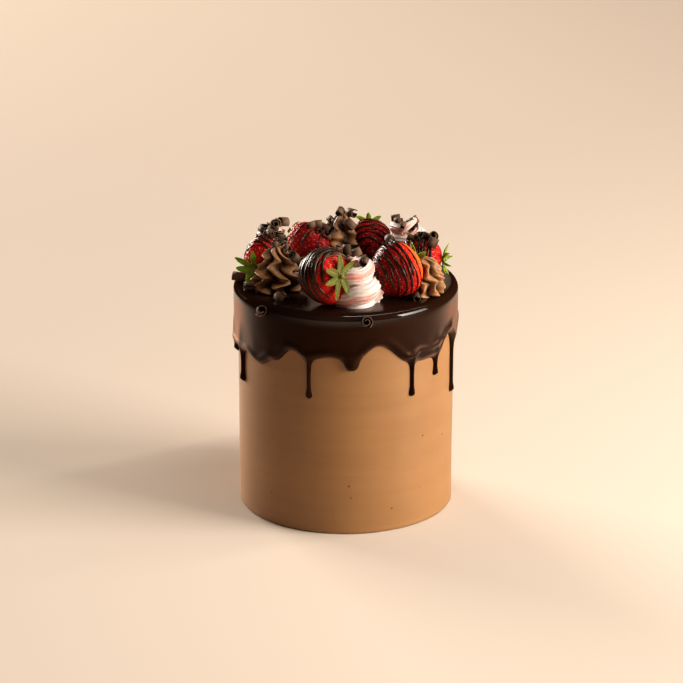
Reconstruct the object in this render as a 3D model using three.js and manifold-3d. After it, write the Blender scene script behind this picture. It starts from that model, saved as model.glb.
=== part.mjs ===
// Chocolate strawberry cake: a tall buttercream cake under a dripping ganache cap, crowned with a ring of
// six drizzled strawberries, three chocolate swirls, three cream swirls and scattered chocolate curls.
// Millimetres, +Z up, origin at the centre of the base. Azimuths are in degrees from the front, which is -Y,
// towards +X.
import * as THREE from "three";
import { mergeVertices } from "three/addons/utils/BufferGeometryUtils.js";
import Module from "manifold-3d";

const wasm = await Module();
wasm.setup();

// Cake and ganache
const CAKE_RADIUS = 75;
const CAKE_HEIGHT = 157.5;
const CAKE_EDGE = 3; // bevel of the cake's top edge
const CAKE_FOOT = 0.8; // bevel round the cake's foot
const ROUND_SIDES = 72;
const GAP = 0.3; // clearance between neighbouring pieces

const GANACHE_TOP = 160;
const GANACHE_RADIUS = 78;
const GANACHE_SHOULDER = 5; // rounding of the ganache's top edge
const GANACHE_LIP = 2; // rounding of the ganache's lower hem

// Lower hem of the ganache, as azimuth and height. It swings smoothly from each to the next.
const HEM = [
  [3, 126], [17.5, 136], [35, 122], [44, 120], [55, 120], [66, 132], [76, 123], [90, 131], [104, 119],
  [118, 133], [132, 121], [146, 117], [160, 131], [176, 120], [190, 129], [204, 118], [219, 132],
  [234, 121], [248, 127], [262, 128], [276, 118], [297, 119], [309, 115], [320, 121], [331, 131],
  [340, 126], [352, 129],
];

// Drips that run below the hem: azimuth, height of the tip, half of the width
const DRIPS = [
  [3, 120, 3.6], [36.7, 96, 2.2], [54, 105.5, 2.1], [74.5, 84.5, 2.2], [104, 103, 2.2], [131, 91, 2.4],
  [147, 108, 2.1], [176, 88, 2.3], [204, 101, 2.2], [234, 93, 2.3], [276.5, 111, 2.1], [290.7, 94.6, 2.5],
  [340.4, 98, 2.1],
];
const DRIP_SIDES = 8;
const DRIP_ROOT = 3; // how far a drip reaches up behind the hem
const DRIP_BEAD = [[0, 0], [0.8, 0.3], [1.08, 1.2]]; // radius and height of its rings, in half widths
const DRIP_WAIST = [0.78, 3.2];
const DRIP_NECK = 0.85; // widths below and at the root, as shares of the drip's own
const DRIP_FLARE = 1.3;

// Strawberries: place in the ring, size, the way from the calyx to the tip, and how far one is lifted off the
// ganache by what it leans on
const BERRIES = [
  { side: "left", azimuth: 271, ring: 55, lift: 2, length: 35, width: 28, tip: [0.42, 0.88, 0.22] },
  { side: "front", azimuth: 343.8, ring: 53.7, length: 36, width: 38, tip: [-0.6, 0.75, -0.25] },
  { side: "right_front", azimuth: 40.3, ring: 49.8, length: 37, width: 39, tip: [-0.8, -0.5, -0.25] },
  { side: "right", azimuth: 99, ring: 50, length: 35, width: 28, tip: [-0.97, 0.15, 0.05] },
  { side: "back", azimuth: 160, ring: 53, length: 33, width: 27, tip: [0.1, -0.9, -0.42] },
  { side: "back_left", azimuth: 209, ring: 51, length: 36, width: 26, tip: [0.7, -0.7, -0.12] },
];
const BERRY_SIDES = 12;
const BERRY_SHOULDER = 0.45; // exponents of the outline: blunt at the calyx, conical at the tip
const BERRY_TAPER = 0.7;
const BERRY_HEAD_ROWS = [0, 0.02, 0.1, 0.22]; // rings above and below the drizzle, as shares of the length
const BERRY_TIP_ROWS = [0.96, 1];
const BERRY_ROOM_ROWS = [0, 0.03, 0.15, 0.35, 0.55, 0.75, 0.93, 1];
const DRIZZLE_LINES = 4;
const DRIZZLE_FIRST = 0.34; // places of the first and last drizzle line, as shares of the length
const DRIZZLE_LAST = 0.86;
const DRIZZLE_WIDTH = 2.2;
const DRIZZLE_HEIGHT = 1;
const DRIZZLE_SLANT = 1.6; // how far a line leans along the berry
const DRIZZLE_FADE = [-0.6, 0.2]; // from where to where a line rises round the berry, below 0 is underneath

// Calyx of each strawberry, and how large it is
const LEAF_SIZE = { left: 1, front: 1, right_front: 0.9, right: 0.62, back: 0.8, back_left: 0.7 };
const SEPALS = 7;
const SEPAL_LENGTH = [9.8, 13.2];
const SEPAL_LIFT = [1, 3.5]; // how far a sepal's end bends away from the strawberry
const SEPAL_WIDTH = 6.4;
const SEPAL_OUTLINE = [[0, 0.42], [0.45, 1], [0.75, 0.7]]; // shares of the length and of the width there
const SEPAL_WAVE = 0.5;
const SEPAL_WAVE_TURN = 5; // radians of the wave along a sepal, and from each sepal to the next
const SEPAL_WAVE_STEP = 2;
const SEPAL_THICKNESS = 0.8;
const CALYX_HUB = 3;

// Piped swirls: place in the ring, size, and how many curls lie on each
const SWIRLS = [
  { kind: "chocolate", side: "front_left", azimuth: 293.8, ring: 50.8, radius: 20, height: 30, curls: 3 },
  { kind: "cream", side: "front", azimuth: 7.5, ring: 52, radius: 21, height: 37, curls: 2 },
  { kind: "chocolate", side: "right", azimuth: 60.5, ring: 62.5, radius: 14.5, height: 26.5, curls: 0 },
  { kind: "cream", side: "back_right", azimuth: 131, ring: 57, radius: 19, height: 37, curls: 3 },
  { kind: "chocolate", side: "back", azimuth: 185, ring: 52, radius: 21.5, height: 32.5, curls: 3 },
  { kind: "cream", side: "back_left", azimuth: 246, ring: 57, radius: 19, height: 37, curls: 4 },
];
// How fast each swirl tapers: low for a full dome, high for a slim cone
const SWIRL_TAPER = {
  front_left: 0.42, front: 0.3, right: 0.24, back_right: 0.3, back: 0.55, back_left: 0.3,
};
const SWIRL_TURNS = 3;
const SWIRL_SIDES = 18;
const SWIRL_ROWS = 10;
const ROPE_SHARE = { chocolate: 0.34, cream: 0.5 }; // thickness of the piped rope, as a share of the radius
const ROPE_THINNING = 0.5; // share of its thickness that the rope loses up to the peak
const ROPE_START = 0.7; // height of the rope's start, and what its climb falls short by, in rope thicknesses
const ROPE_SHORT = 1.6;
const PEAK_LEAN = 2.5; // how far the pulled-up peak leans over
const PEAK_SHARE = 0.2; // share of the height in which a swirl closes to its peak
const RUFFLES = 6;
const RUFFLE_DEPTH = { chocolate: 0.14, cream: 0.05 };
const RUFFLE_TWIST = 4; // height in which the ruffles turn by one radian

// Chocolate curls. A pair holds the least and the most that curls differ by.
const CURL_RADIUS = 3.3;
const CURL_WALL = 1;
const CURL_LENGTH = 6.4;
const CURL_SIZE = [0.62, 1.1];
const CURL_ARC = [190, 300];
const CURL_TILT = [70, 105];
const CURL_ROLL = [-70, 70]; // turn about the curl's own axis, from lying on its back
const CURL_SEGMENTS = 4;
const CURL_SINK = 0.9; // how deep a curl sits in what it lies on
const GOLDEN_ANGLE = 137.5;
// Steps that spread neighbouring numbers apart between their least and their most
const STEP = { size: 0.618, bend: 0.37, tilt: 0.73, roll: 0.61 };
const HIGHEST_CURL = 0.88; // on a swirl, as shares of its height
const CURL_STEP_DOWN = 0.2;
const CURL_FACING_UP = 0.9;
const NUMBERS_A_SWIRL = 7; // curl numbers set aside for each swirl and for each strawberry
const NUMBERS_A_BERRY = 3;
const CURL_ON_BERRY = [0.45, 0.57]; // place along a strawberry, as shares of its length
const CURLS_IN_MIDDLE = 7;
const MIDDLE_RADIUS = 25;
// Curls stuck to the ganache's rounded edge (azimuth, height, size), and the way their hollows face
const CURLS_ON_EDGE = [[313.5, 155, 1.25], [9.7, 154.5, 1.25], [268, 159, 0.85]];
const EDGE_CURL_WAY = new THREE.Vector3(0.15, -0.9, 0.4);
const EDGE_CURL_SINK = 2.6;
// Curls lying on the ganache's top (azimuth, radius)
const CURLS_ON_TOP = [[317, 65]];

const MATERIALS = {
  buttercream: new THREE.MeshStandardMaterial({ color: 0xa8703f, roughness: 0.55, metalness: 0 }),
  ganache: new THREE.MeshStandardMaterial({ color: 0x2a130b, roughness: 0.15, metalness: 0 }),
  strawberry: new THREE.MeshStandardMaterial({ color: 0xa80f14, roughness: 0.25, metalness: 0 }),
  leaf: new THREE.MeshStandardMaterial({ color: 0x5d7a22, roughness: 0.5, metalness: 0 }),
  chocolate: new THREE.MeshStandardMaterial({ color: 0x6b4328, roughness: 0.5, metalness: 0 }),
  cream: new THREE.MeshStandardMaterial({ color: 0xf4ddd6, roughness: 0.5, metalness: 0 }),
};

const radians = THREE.MathUtils.degToRad;

function around(azimuth, radius, height = 0) {
  const a = radians(azimuth);
  return new THREE.Vector3(radius * Math.sin(a), -radius * Math.cos(a), height);
}

// A closed skin of rings from a first point to a last one. place gives the point of a row and a column.
function closedGrid(rows, columns, place) {
  const points = [place(0, 0)];
  for (let row = 1; row < rows - 1; row++) {
    for (let column = 0; column < columns; column++) points.push(place(row, column));
  }
  points.push(place(rows - 1, 0));
  const last = points.length - 1;
  const at = (row, column) => 1 + (row - 1) * columns + (column % columns);
  const corners = [];
  for (let column = 0; column < columns; column++) {
    corners.push(0, at(1, column + 1), at(1, column));
    for (let row = 1; row < rows - 2; row++) {
      corners.push(at(row, column), at(row, column + 1), at(row + 1, column + 1));
      corners.push(at(row, column), at(row + 1, column + 1), at(row + 1, column));
    }
    corners.push(at(rows - 2, column), at(rows - 2, column + 1), last);
  }
  return new THREE.BufferGeometry().setFromPoints(points).setIndex(corners);
}

function toSolid(geometry, matrix = new THREE.Matrix4()) {
  const bare = geometry.index ? geometry.toNonIndexed() : geometry.clone();
  bare.deleteAttribute("normal");
  bare.deleteAttribute("uv");
  const merged = mergeVertices(bare.applyMatrix4(matrix), 1e-4);
  const corners = merged.index.array;
  const kept = [];
  for (let i = 0; i < corners.length; i += 3) {
    const [a, b, c] = corners.slice(i, i + 3);
    if (a !== b && b !== c && c !== a) kept.push(a, b, c);
  }
  return new wasm.Manifold(
    new wasm.Mesh({
      numProp: 3,
      vertProperties: merged.attributes.position.array,
      triVerts: new Uint32Array(kept),
    }),
  );
}

function toMesh(name, solid, material) {
  const { vertProperties, triVerts } = solid.getMesh();
  const geometry = new THREE.BufferGeometry();
  geometry.setAttribute("position", new THREE.BufferAttribute(new Float32Array(vertProperties), 3));
  geometry.setIndex(new THREE.BufferAttribute(new Uint32Array(triVerts), 1));
  geometry.computeVertexNormals();
  const mesh = new THREE.Mesh(geometry, material.clone());
  mesh.name = name;
  return mesh;
}

// A cut can leave loose scraps, so only the largest body is kept.
function largestBody(solid) {
  return solid.decompose().reduce((best, body) => (body.volume() > best.volume() ? body : best));
}

// Turns so that local +Z runs along the given way and local +X faces as far up as it can, or back if +Z is up
function turnedTo(way) {
  const z = way.clone().normalize();
  const upwards = z.z > 0.99 ? new THREE.Vector3(0, 1, 0) : new THREE.Vector3(0, 0, 1);
  const y = new THREE.Vector3().crossVectors(z, upwards).normalize();
  const x = new THREE.Vector3().crossVectors(y, z);
  return new THREE.Matrix4().makeBasis(x, y, z);
}

// The frosted cake, grown outwards by a margin when it serves as a cutter
function cakeGeometry(margin = 0) {
  const radius = CAKE_RADIUS + margin;
  const top = CAKE_HEIGHT + margin;
  const profile = [
    new THREE.Vector2(0, 0),
    new THREE.Vector2(radius - CAKE_FOOT, 0),
    new THREE.Vector2(radius, CAKE_FOOT),
    new THREE.Vector2(radius, top - CAKE_EDGE),
    new THREE.Vector2(radius - CAKE_EDGE, top),
    new THREE.Vector2(0, top),
  ];
  return new THREE.LatheGeometry(profile, ROUND_SIDES).rotateX(Math.PI / 2);
}

// Height of the ganache's hem, eased between neighbouring hem points round the full circle
function hemHeight(azimuth) {
  const a = ((azimuth % 360) + 360) % 360;
  let next = HEM.findIndex(([at]) => at > a);
  if (next < 0) next = 0;
  const [fromAt, from] = HEM[(next + HEM.length - 1) % HEM.length];
  const [toAt, to] = HEM[next];
  const span = (toAt - fromAt + 360) % 360;
  const share = ((a - fromAt + 360) % 360) / span;
  return THREE.MathUtils.lerp(from, to, (1 - Math.cos(Math.PI * share)) / 2);
}

// Ganache over the top and sides, as a full plug that the cake is later cut from
function ganachePlug() {
  const wall = GANACHE_TOP - GANACHE_SHOULDER;
  const slant = GANACHE_SHOULDER * Math.SQRT1_2;
  const inside = GANACHE_RADIUS - GANACHE_SHOULDER;
  const ring = [
    () => [0, wall],
    (hem) => [CAKE_RADIUS - 2 * GANACHE_LIP, hem],
    (hem) => [GANACHE_RADIUS - GANACHE_LIP, hem],
    (hem) => [GANACHE_RADIUS, hem + GANACHE_LIP],
    () => [GANACHE_RADIUS, wall],
    () => [inside + slant, wall + slant],
    () => [inside, GANACHE_TOP],
    () => [0, GANACHE_TOP],
  ];
  return closedGrid(ring.length, ROUND_SIDES, (row, column) => {
    const azimuth = (360 * column) / ROUND_SIDES;
    const [radius, height] = ring[row](hemHeight(azimuth));
    return around(azimuth, radius, height);
  });
}

// A drip with a bead at its foot, a thinner neck and a root behind the hem
function dripSolid([azimuth, tip, half]) {
  const length = hemHeight(azimuth) + DRIP_ROOT - tip;
  const outline = length > 2 * DRIP_WAIST[1] * half ? [...DRIP_BEAD, DRIP_WAIST] : DRIP_BEAD;
  const points = outline.map(([r, h]) => new THREE.Vector2(r * half, h * half));
  points.push(new THREE.Vector2(DRIP_NECK * half, length - DRIP_ROOT - half));
  points.push(new THREE.Vector2(DRIP_FLARE * half, length), new THREE.Vector2(0, length));
  const geometry = new THREE.LatheGeometry(points, DRIP_SIDES).rotateX(Math.PI / 2);
  const place = new THREE.Matrix4().makeRotationZ(radians(azimuth));
  place.setPosition(around(azimuth, CAKE_RADIUS + GAP, tip));
  return toSolid(geometry, place);
}

// A value between two limits for each number, by a step that spreads neighbouring numbers apart
function spread([least, most], number, step) {
  return THREE.MathUtils.lerp(least, most, (number * step) % 1);
}

// A rolled shaving: an open tube, from a half turn to nearly a full one. Its axis is Z and its back faces +X.
function curlGeometry(number, size) {
  const half = radians(spread(CURL_ARC, number, STEP.bend)) / 2;
  const outer = CURL_RADIUS * size;
  const inner = outer - CURL_WALL;
  const shape = new THREE.Shape();
  shape.absarc(0, 0, outer, -half, half, false);
  shape.absarc(0, 0, inner, half, -half, true);
  const depth = CURL_LENGTH * size;
  const options = { depth, bevelEnabled: false, curveSegments: CURL_SEGMENTS, steps: 1 };
  return new THREE.ExtrudeGeometry(shape, options).translate(0, 0, -depth / 2);
}

// A curl lying on a surface, with its own turn about the surface's outward way
function curlSolid(number, point, outward) {
  const size = spread(CURL_SIZE, number, STEP.size);
  const turn = new THREE.Matrix4().makeRotationZ(radians(number * GOLDEN_ANGLE));
  const tilt = new THREE.Matrix4().makeRotationY(radians(spread(CURL_TILT, number, STEP.tilt)));
  const roll = new THREE.Matrix4().makeRotationZ(radians(spread(CURL_ROLL, number, STEP.roll)));
  const place = turnedTo(outward).multiply(turn).multiply(tilt).multiply(roll);
  place.setPosition(point.clone().addScaledVector(outward, CURL_RADIUS * size - CURL_SINK));
  return toSolid(curlGeometry(number, size), place);
}

// A curl pressed into the ganache's rounded edge, with its hollow to the front
function edgeCurlSolid(number, [azimuth, height, size]) {
  const rise = Math.max(0, height - GANACHE_TOP + GANACHE_SHOULDER) / GANACHE_SHOULDER;
  const flat = Math.sqrt(1 - rise * rise);
  const radius = GANACHE_RADIUS - GANACHE_SHOULDER * (1 - flat);
  const outward = around(azimuth, flat, rise);
  const turn = new THREE.Matrix4().makeRotationZ(radians(number * GOLDEN_ANGLE));
  const place = turnedTo(EDGE_CURL_WAY).multiply(turn);
  const point = around(azimuth, radius, height);
  place.setPosition(point.addScaledVector(outward, CURL_RADIUS * size - EDGE_CURL_SINK));
  return toSolid(curlGeometry(number, size), place);
}

// Places of the curls that lie on the ganache's level top, near its edge and in the middle of the ring
function levelCurlPlaces() {
  const onTop = CURLS_ON_TOP.map(([azimuth, radius]) => around(azimuth, radius, GANACHE_TOP));
  const inMiddle = Array.from({ length: CURLS_IN_MIDDLE }, (_, i) => {
    const radius = MIDDLE_RADIUS * Math.sqrt((i + 0.5) / CURLS_IN_MIDDLE);
    return around(i * GOLDEN_ANGLE, radius, GANACHE_TOP);
  });
  return [...onTop, ...inMiddle];
}

function ganacheSolid() {
  const up = new THREE.Vector3(0, 0, 1);
  let solid = toSolid(ganachePlug());
  for (const drip of DRIPS) solid = solid.add(dripSolid(drip));
  CURLS_ON_EDGE.forEach((curl, i) => {
    solid = solid.add(edgeCurlSolid(i, curl));
  });
  levelCurlPlaces().forEach((place, i) => {
    solid = solid.add(curlSolid(CURLS_ON_EDGE.length + i, place, up));
  });
  return largestBody(solid.subtract(toSolid(cakeGeometry(GAP))));
}

// Share of a strawberry's greatest radius at a share of its length from the calyx
function berryOutline(share) {
  const peak = BERRY_SHOULDER / (BERRY_SHOULDER + BERRY_TAPER);
  const outline = (t) => t ** BERRY_SHOULDER * (1 - t) ** BERRY_TAPER;
  return outline(THREE.MathUtils.clamp(share, 0, 1)) / outline(peak);
}

// A strawberry with its calyx end at the origin and its tip on +Z. Chocolate lines ridge its upper side, +X.
function berryGeometry({ length, width }) {
  const ridge = DRIZZLE_WIDTH / 2 / length;
  const rows = BERRY_HEAD_ROWS.map((share) => ({ share }));
  for (let line = 0; line < DRIZZLE_LINES; line++) {
    const share = THREE.MathUtils.lerp(DRIZZLE_FIRST, DRIZZLE_LAST, line / (DRIZZLE_LINES - 1));
    rows.push({ share: share - ridge, line: true }, { share, line: true, crest: true });
    rows.push({ share: share + ridge, line: true });
  }
  rows.push(...BERRY_TIP_ROWS.map((share) => ({ share })));
  return closedGrid(rows.length, BERRY_SIDES, (row, column) => {
    const angle = (2 * Math.PI * column) / BERRY_SIDES;
    const { share, line, crest } = rows[row];
    const slanted = share + (line ? (DRIZZLE_SLANT * Math.sin(angle)) / length : 0);
    const upper = THREE.MathUtils.smoothstep(Math.cos(angle), ...DRIZZLE_FADE);
    const radius = (width / 2) * berryOutline(slanted) + (crest ? DRIZZLE_HEIGHT * upper : 0);
    return new THREE.Vector3(radius * Math.cos(angle), radius * Math.sin(angle), slanted * length);
  });
}

// The room that a strawberry and its chocolate lines take up, without the lines' own shape
function berryRoom({ length, width }) {
  const rows = BERRY_ROOM_ROWS;
  const margin = DRIZZLE_HEIGHT + 2 * GAP;
  return closedGrid(rows.length, BERRY_SIDES, (row, column) => {
    const angle = (2 * Math.PI * column) / BERRY_SIDES;
    const end = row === 0 || row === rows.length - 1;
    const radius = end ? 0 : (width / 2) * berryOutline(rows[row]) + margin;
    const along = rows[row] * length + margin * (2 * rows[row] - 1);
    return new THREE.Vector3(radius * Math.cos(angle), radius * Math.sin(angle), along);
  });
}

// A thin solid from a sheet: the same triangles on both faces, and a wall along every free edge
function thickSheet(points, triangles, thickness) {
  const lower = points.map((p) => p.clone().setZ(p.z - thickness));
  const count = points.length;
  const corners = [];
  const edges = new Set(triangles.flatMap(([a, b, c]) => [`${a} ${b}`, `${b} ${c}`, `${c} ${a}`]));
  for (const [a, b, c] of triangles) corners.push(a, b, c, count + a, count + c, count + b);
  for (const edge of edges) {
    const [a, b] = edge.split(" ").map(Number);
    if (!edges.has(`${b} ${a}`)) corners.push(count + a, count + b, b, count + a, b, a);
  }
  return new THREE.BufferGeometry().setFromPoints([...points, ...lower]).setIndex(corners);
}

// Wavy sepals round a hub, just clear of the strawberry's calyx end, which is at the origin
function calyxGeometry({ side }, margin = 0) {
  const leaf = LEAF_SIZE[side];
  const points = [new THREE.Vector3(0, 0, margin - GAP)];
  const triangles = [];
  for (let sepal = 0; sepal < SEPALS; sepal++) {
    const turn = (2 * Math.PI * sepal) / SEPALS;
    const length = leaf * spread(SEPAL_LENGTH, sepal, STEP.size);
    const lift = spread(SEPAL_LIFT, sepal, STEP.bend);
    const first = points.length;
    const put = (along, across) => {
      const wave = SEPAL_WAVE * Math.sin(SEPAL_WAVE_TURN * along + SEPAL_WAVE_STEP * sepal);
      const out = CALYX_HUB + along * length;
      const rise = margin - GAP - lift * along * along - Math.abs(wave) * along;
      const flat = new THREE.Vector3(out, across, rise);
      points.push(flat.applyAxisAngle(new THREE.Vector3(0, 0, 1), turn));
    };
    for (const [along, share] of SEPAL_OUTLINE) {
      const half = (share * leaf * SEPAL_WIDTH) / 2 + margin;
      put(along, -half);
      put(along, half);
    }
    put(1 + margin / length, 0);
    const end = points.length - 1;
    triangles.push([0, first, first + 1]);
    for (let i = 0; i < SEPAL_OUTLINE.length - 1; i++) {
      const a = first + 2 * i;
      triangles.push([a, a + 2, a + 3], [a, a + 3, a + 1]);
    }
    triangles.push([end - 2, end, end - 1]);
    const nextRoot = sepal === SEPALS - 1 ? 1 : end + 1;
    triangles.push([0, first + 1, nextRoot]);
  }
  return thickSheet(points, triangles, SEPAL_THICKNESS + 2 * margin);
}

// Reach of a piped swirl from its axis, at an angle and a height: the outermost turn of the rope there
function swirlReach({ radius, height, side, kind }, angle, level) {
  const rope = ROPE_SHARE[kind] * radius;
  const taper = SWIRL_TAPER[side];
  let reach = (radius - rope) * Math.max(0, 1 - level / height) ** taper;
  for (let turn = 0; turn < SWIRL_TURNS; turn++) {
    const wound = (turn + angle / (2 * Math.PI)) / SWIRL_TURNS;
    const thick = rope * (1 - ROPE_THINNING * wound);
    const middle = ROPE_START * rope + (height - ROPE_SHORT * rope) * wound;
    const bulge = Math.max(0, thick * thick - (level - middle) ** 2);
    const path = bulge > 0 ? (radius - rope) * (1 - wound) ** taper : 0;
    reach = Math.max(reach, path + Math.sqrt(bulge));
  }
  const ruffle = 1 + RUFFLE_DEPTH[kind] * Math.cos(RUFFLES * angle + level / RUFFLE_TWIST);
  return reach * ruffle * Math.min(1, (1 - level / height) / PEAK_SHARE);
}

function swirlPoint(swirl, angle, level, share = 1) {
  const reach = share * swirlReach(swirl, angle, level);
  const lean = PEAK_LEAN * (level / swirl.height) ** 3;
  return new THREE.Vector3(reach * Math.cos(angle) - lean, reach * Math.sin(angle), level);
}

function swirlGeometry(swirl) {
  return closedGrid(SWIRL_ROWS + 2, SWIRL_SIDES, (row, column) => {
    const angle = (2 * Math.PI * column) / SWIRL_SIDES;
    const level = (swirl.height * Math.max(0, row - 1)) / SWIRL_ROWS;
    return swirlPoint(swirl, angle, level, row === 0 ? 0 : 1);
  });
}

// A swirl with its curls, the first near the peak and each next one lower down
function swirlSolid(swirl, order) {
  let solid = toSolid(swirlGeometry(swirl));
  for (let i = 0; i < swirl.curls; i++) {
    const number = NUMBERS_A_SWIRL * order + i;
    const angle = radians((number * GOLDEN_ANGLE) % 360);
    const level = swirl.height * (HIGHEST_CURL - CURL_STEP_DOWN * i);
    const outward = new THREE.Vector3(Math.cos(angle), Math.sin(angle), CURL_FACING_UP).normalize();
    solid = solid.add(curlSolid(number, swirlPoint(swirl, angle, level), outward));
  }
  return solid;
}

// A strawberry with one curl on its upper side
function berrySolid(berry, order) {
  const share = spread(CURL_ON_BERRY, order, STEP.size);
  const radius = (berry.width / 2) * berryOutline(share) + DRIZZLE_HEIGHT / 2;
  const point = new THREE.Vector3(radius, 0, share * berry.length);
  const curl = curlSolid(NUMBERS_A_BERRY * order, point, new THREE.Vector3(1, 0, 0));
  return toSolid(berryGeometry(berry)).add(curl);
}

// Where a strawberry's calyx end and axis go, so that the strawberry lies on the ganache
function berryPlace(berry) {
  const turn = turnedTo(new THREE.Vector3(...berry.tip));
  const body = berryGeometry(berry).translate(0, 0, -berry.length / 2).applyMatrix4(turn);
  body.computeBoundingBox();
  const height = GANACHE_TOP + GAP + (berry.lift ?? 0) - body.boundingBox.min.z;
  const middle = new THREE.Matrix4().makeTranslation(around(berry.azimuth, berry.ring, height));
  const backToCalyx = new THREE.Matrix4().makeTranslation(0, 0, -berry.length / 2);
  return middle.multiply(turn).multiply(backToCalyx);
}

// The room below the toppings, which trims a sepal that would dip into the ganache
function roomBelow() {
  const side = 4 * CAKE_RADIUS;
  const box = new THREE.BoxGeometry(side, side, GANACHE_TOP);
  return toSolid(box.translate(0, 0, GANACHE_TOP / 2 + GAP));
}

const cake = new THREE.Group();
cake.add(toMesh("frosted_cake", toSolid(cakeGeometry()), MATERIALS.buttercream));
cake.add(toMesh("ganache", ganacheSolid(), MATERIALS.ganache));

const places = BERRIES.map(berryPlace);
const berryRooms = BERRIES.map((berry, i) => toSolid(berryRoom(berry), places[i]));
const calyxRooms = BERRIES.map((berry, i) => toSolid(calyxGeometry(berry, GAP), places[i]));
const below = roomBelow();

BERRIES.forEach((berry, i) => {
  const name = `strawberry_${berry.side}`;
  const mesh = toMesh(name, berrySolid(berry, i), MATERIALS.strawberry);
  mesh.applyMatrix4(places[i]);
  cake.add(mesh);

  let calyx = toSolid(calyxGeometry(berry), places[i]).subtract(below);
  berryRooms.forEach((room, other) => {
    if (other !== i) calyx = calyx.subtract(room);
  });
  cake.add(toMesh(`${name}_calyx`, largestBody(calyx), MATERIALS.leaf));
});

// Each swirl stands on the ganache, and the strawberries and their calyxes press into it.
SWIRLS.forEach((swirl, i) => {
  const place = new THREE.Matrix4().makeRotationZ(radians(swirl.azimuth));
  place.setPosition(around(swirl.azimuth, swirl.ring, GANACHE_TOP + GAP));
  let solid = swirlSolid(swirl, i).transform(place.toArray());
  for (const room of [...berryRooms, ...calyxRooms]) solid = solid.subtract(room);
  cake.add(toMesh(`${swirl.kind}_swirl_${swirl.side}`, largestBody(solid), MATERIALS[swirl.kind]));
});

export default cake;
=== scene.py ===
"""Dresses the chocolate strawberry cake: buttercream, ganache, strawberries, piped swirls and curls."""

import math

import bpy
import numpy as np
from mathutils import Matrix, Vector, noise
from mathutils.bvhtree import BVHTree
from mathutils.kdtree import KDTree


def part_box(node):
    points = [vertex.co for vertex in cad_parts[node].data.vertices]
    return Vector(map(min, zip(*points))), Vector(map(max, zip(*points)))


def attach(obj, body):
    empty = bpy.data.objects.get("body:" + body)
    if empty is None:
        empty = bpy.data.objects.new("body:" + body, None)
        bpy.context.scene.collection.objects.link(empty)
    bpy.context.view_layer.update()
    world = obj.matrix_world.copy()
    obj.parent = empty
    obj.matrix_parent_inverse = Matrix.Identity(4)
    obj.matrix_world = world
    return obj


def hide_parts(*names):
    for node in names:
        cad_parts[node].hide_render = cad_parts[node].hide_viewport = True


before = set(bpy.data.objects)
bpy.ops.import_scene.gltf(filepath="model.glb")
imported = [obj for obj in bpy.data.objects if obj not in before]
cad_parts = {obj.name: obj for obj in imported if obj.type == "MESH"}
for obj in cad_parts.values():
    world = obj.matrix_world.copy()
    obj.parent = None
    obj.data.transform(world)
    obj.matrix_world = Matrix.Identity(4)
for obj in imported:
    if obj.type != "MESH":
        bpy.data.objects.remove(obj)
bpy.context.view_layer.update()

# All sizes below are in millimetres and degrees. Azimuth 0 is the front, and 90 the right.
MM = 0.001
GOLDEN_ANGLE = 137.5
GOLDEN_SHARE = 0.618

# Cake: its radius and height are those of its solid in the frame, to a tenth of a millimetre
FROSTED_CAKE_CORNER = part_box("frosted_cake")[1]
CAKE_RADIUS = round(FROSTED_CAKE_CORNER.x / MM, 1)
CAKE_HEIGHT = round(FROSTED_CAKE_CORNER.z / MM, 1)
CAKE_EDGE = 3.0
CAKE_FOOT = 0.8
CAKE_EVEN_FOOT = 4.0
CAKE_COLUMNS = 300
CAKE_ROW = 1.6
CAKE_EDGE_ROWS = 6
# Unevenness of the wall and level marks of the scraper, as depth and size
CAKE_UNEVEN = (0.22, 45)
SCRAPER_MARKS = (0.07, 3.0)
SCRAPER_STRETCH = (0.08, 0.08, 1.0)

# Ganache: its rim is a radius and how far it bends, before the wider shoulder
GANACHE_TOP = CAKE_HEIGHT + 2.5
GANACHE_UNDERSIDE = CAKE_HEIGHT - 0.4
GANACHE_BACK = CAKE_RADIUS - 1.1
GANACHE_COAT = 3.0
GANACHE_RIM = (4.5, 62.0)
GANACHE_RIM_ROWS = 9
GANACHE_SHOULDER = 6.0
GANACHE_SHOULDER_ROWS = 7
ROUNDED_EDGE = 4.5
TUCKED_IN = 0.9
# Low waves on the ganache's top, as height and size, and how far below it they end
TOP_WAVES = (0.12, 26)
WAVES_END = 1
# Swells where the ganache ran down: their height, size and stretch, how much higher and how much wider
# than a drip they are above it, and the depths below the top and inside the edge that they set in over
GANACHE_FLOW = 0.6
FLOW_SIZE = 11
FLOW_STRETCH = (1, 1, 0.3)
FLOW_OVER_DRIP = (0.9, 1.6)
FLOW_BELOW_TOP = (16, 34)
FLOW_INSIDE_EDGE = (0.5, 5)
# Where the ganache's finish changes: the depths below its top and below its hem that it does so over, and
# the width of its glossy rim
RUN_DOWN = (4, 10)
HANGING = (-1, 6)
GLOSSY_RIM = 3
# Mesh of the ganache: rings on its top, rows on its wall, closer together near the hem, and columns,
# closer together over the drips
FIRST_RING = 6
TOP_RINGS = 11
WALL_ROW = 1.6
HEM_ROW = 0.55
HEM_ROWS_FROM = 138
LOWEST_ROW = 82.0
COLUMN_STEP = 1.3
DRIP_COLUMN_STEP = 0.3
DRIP_SPAN = 4.6

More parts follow.
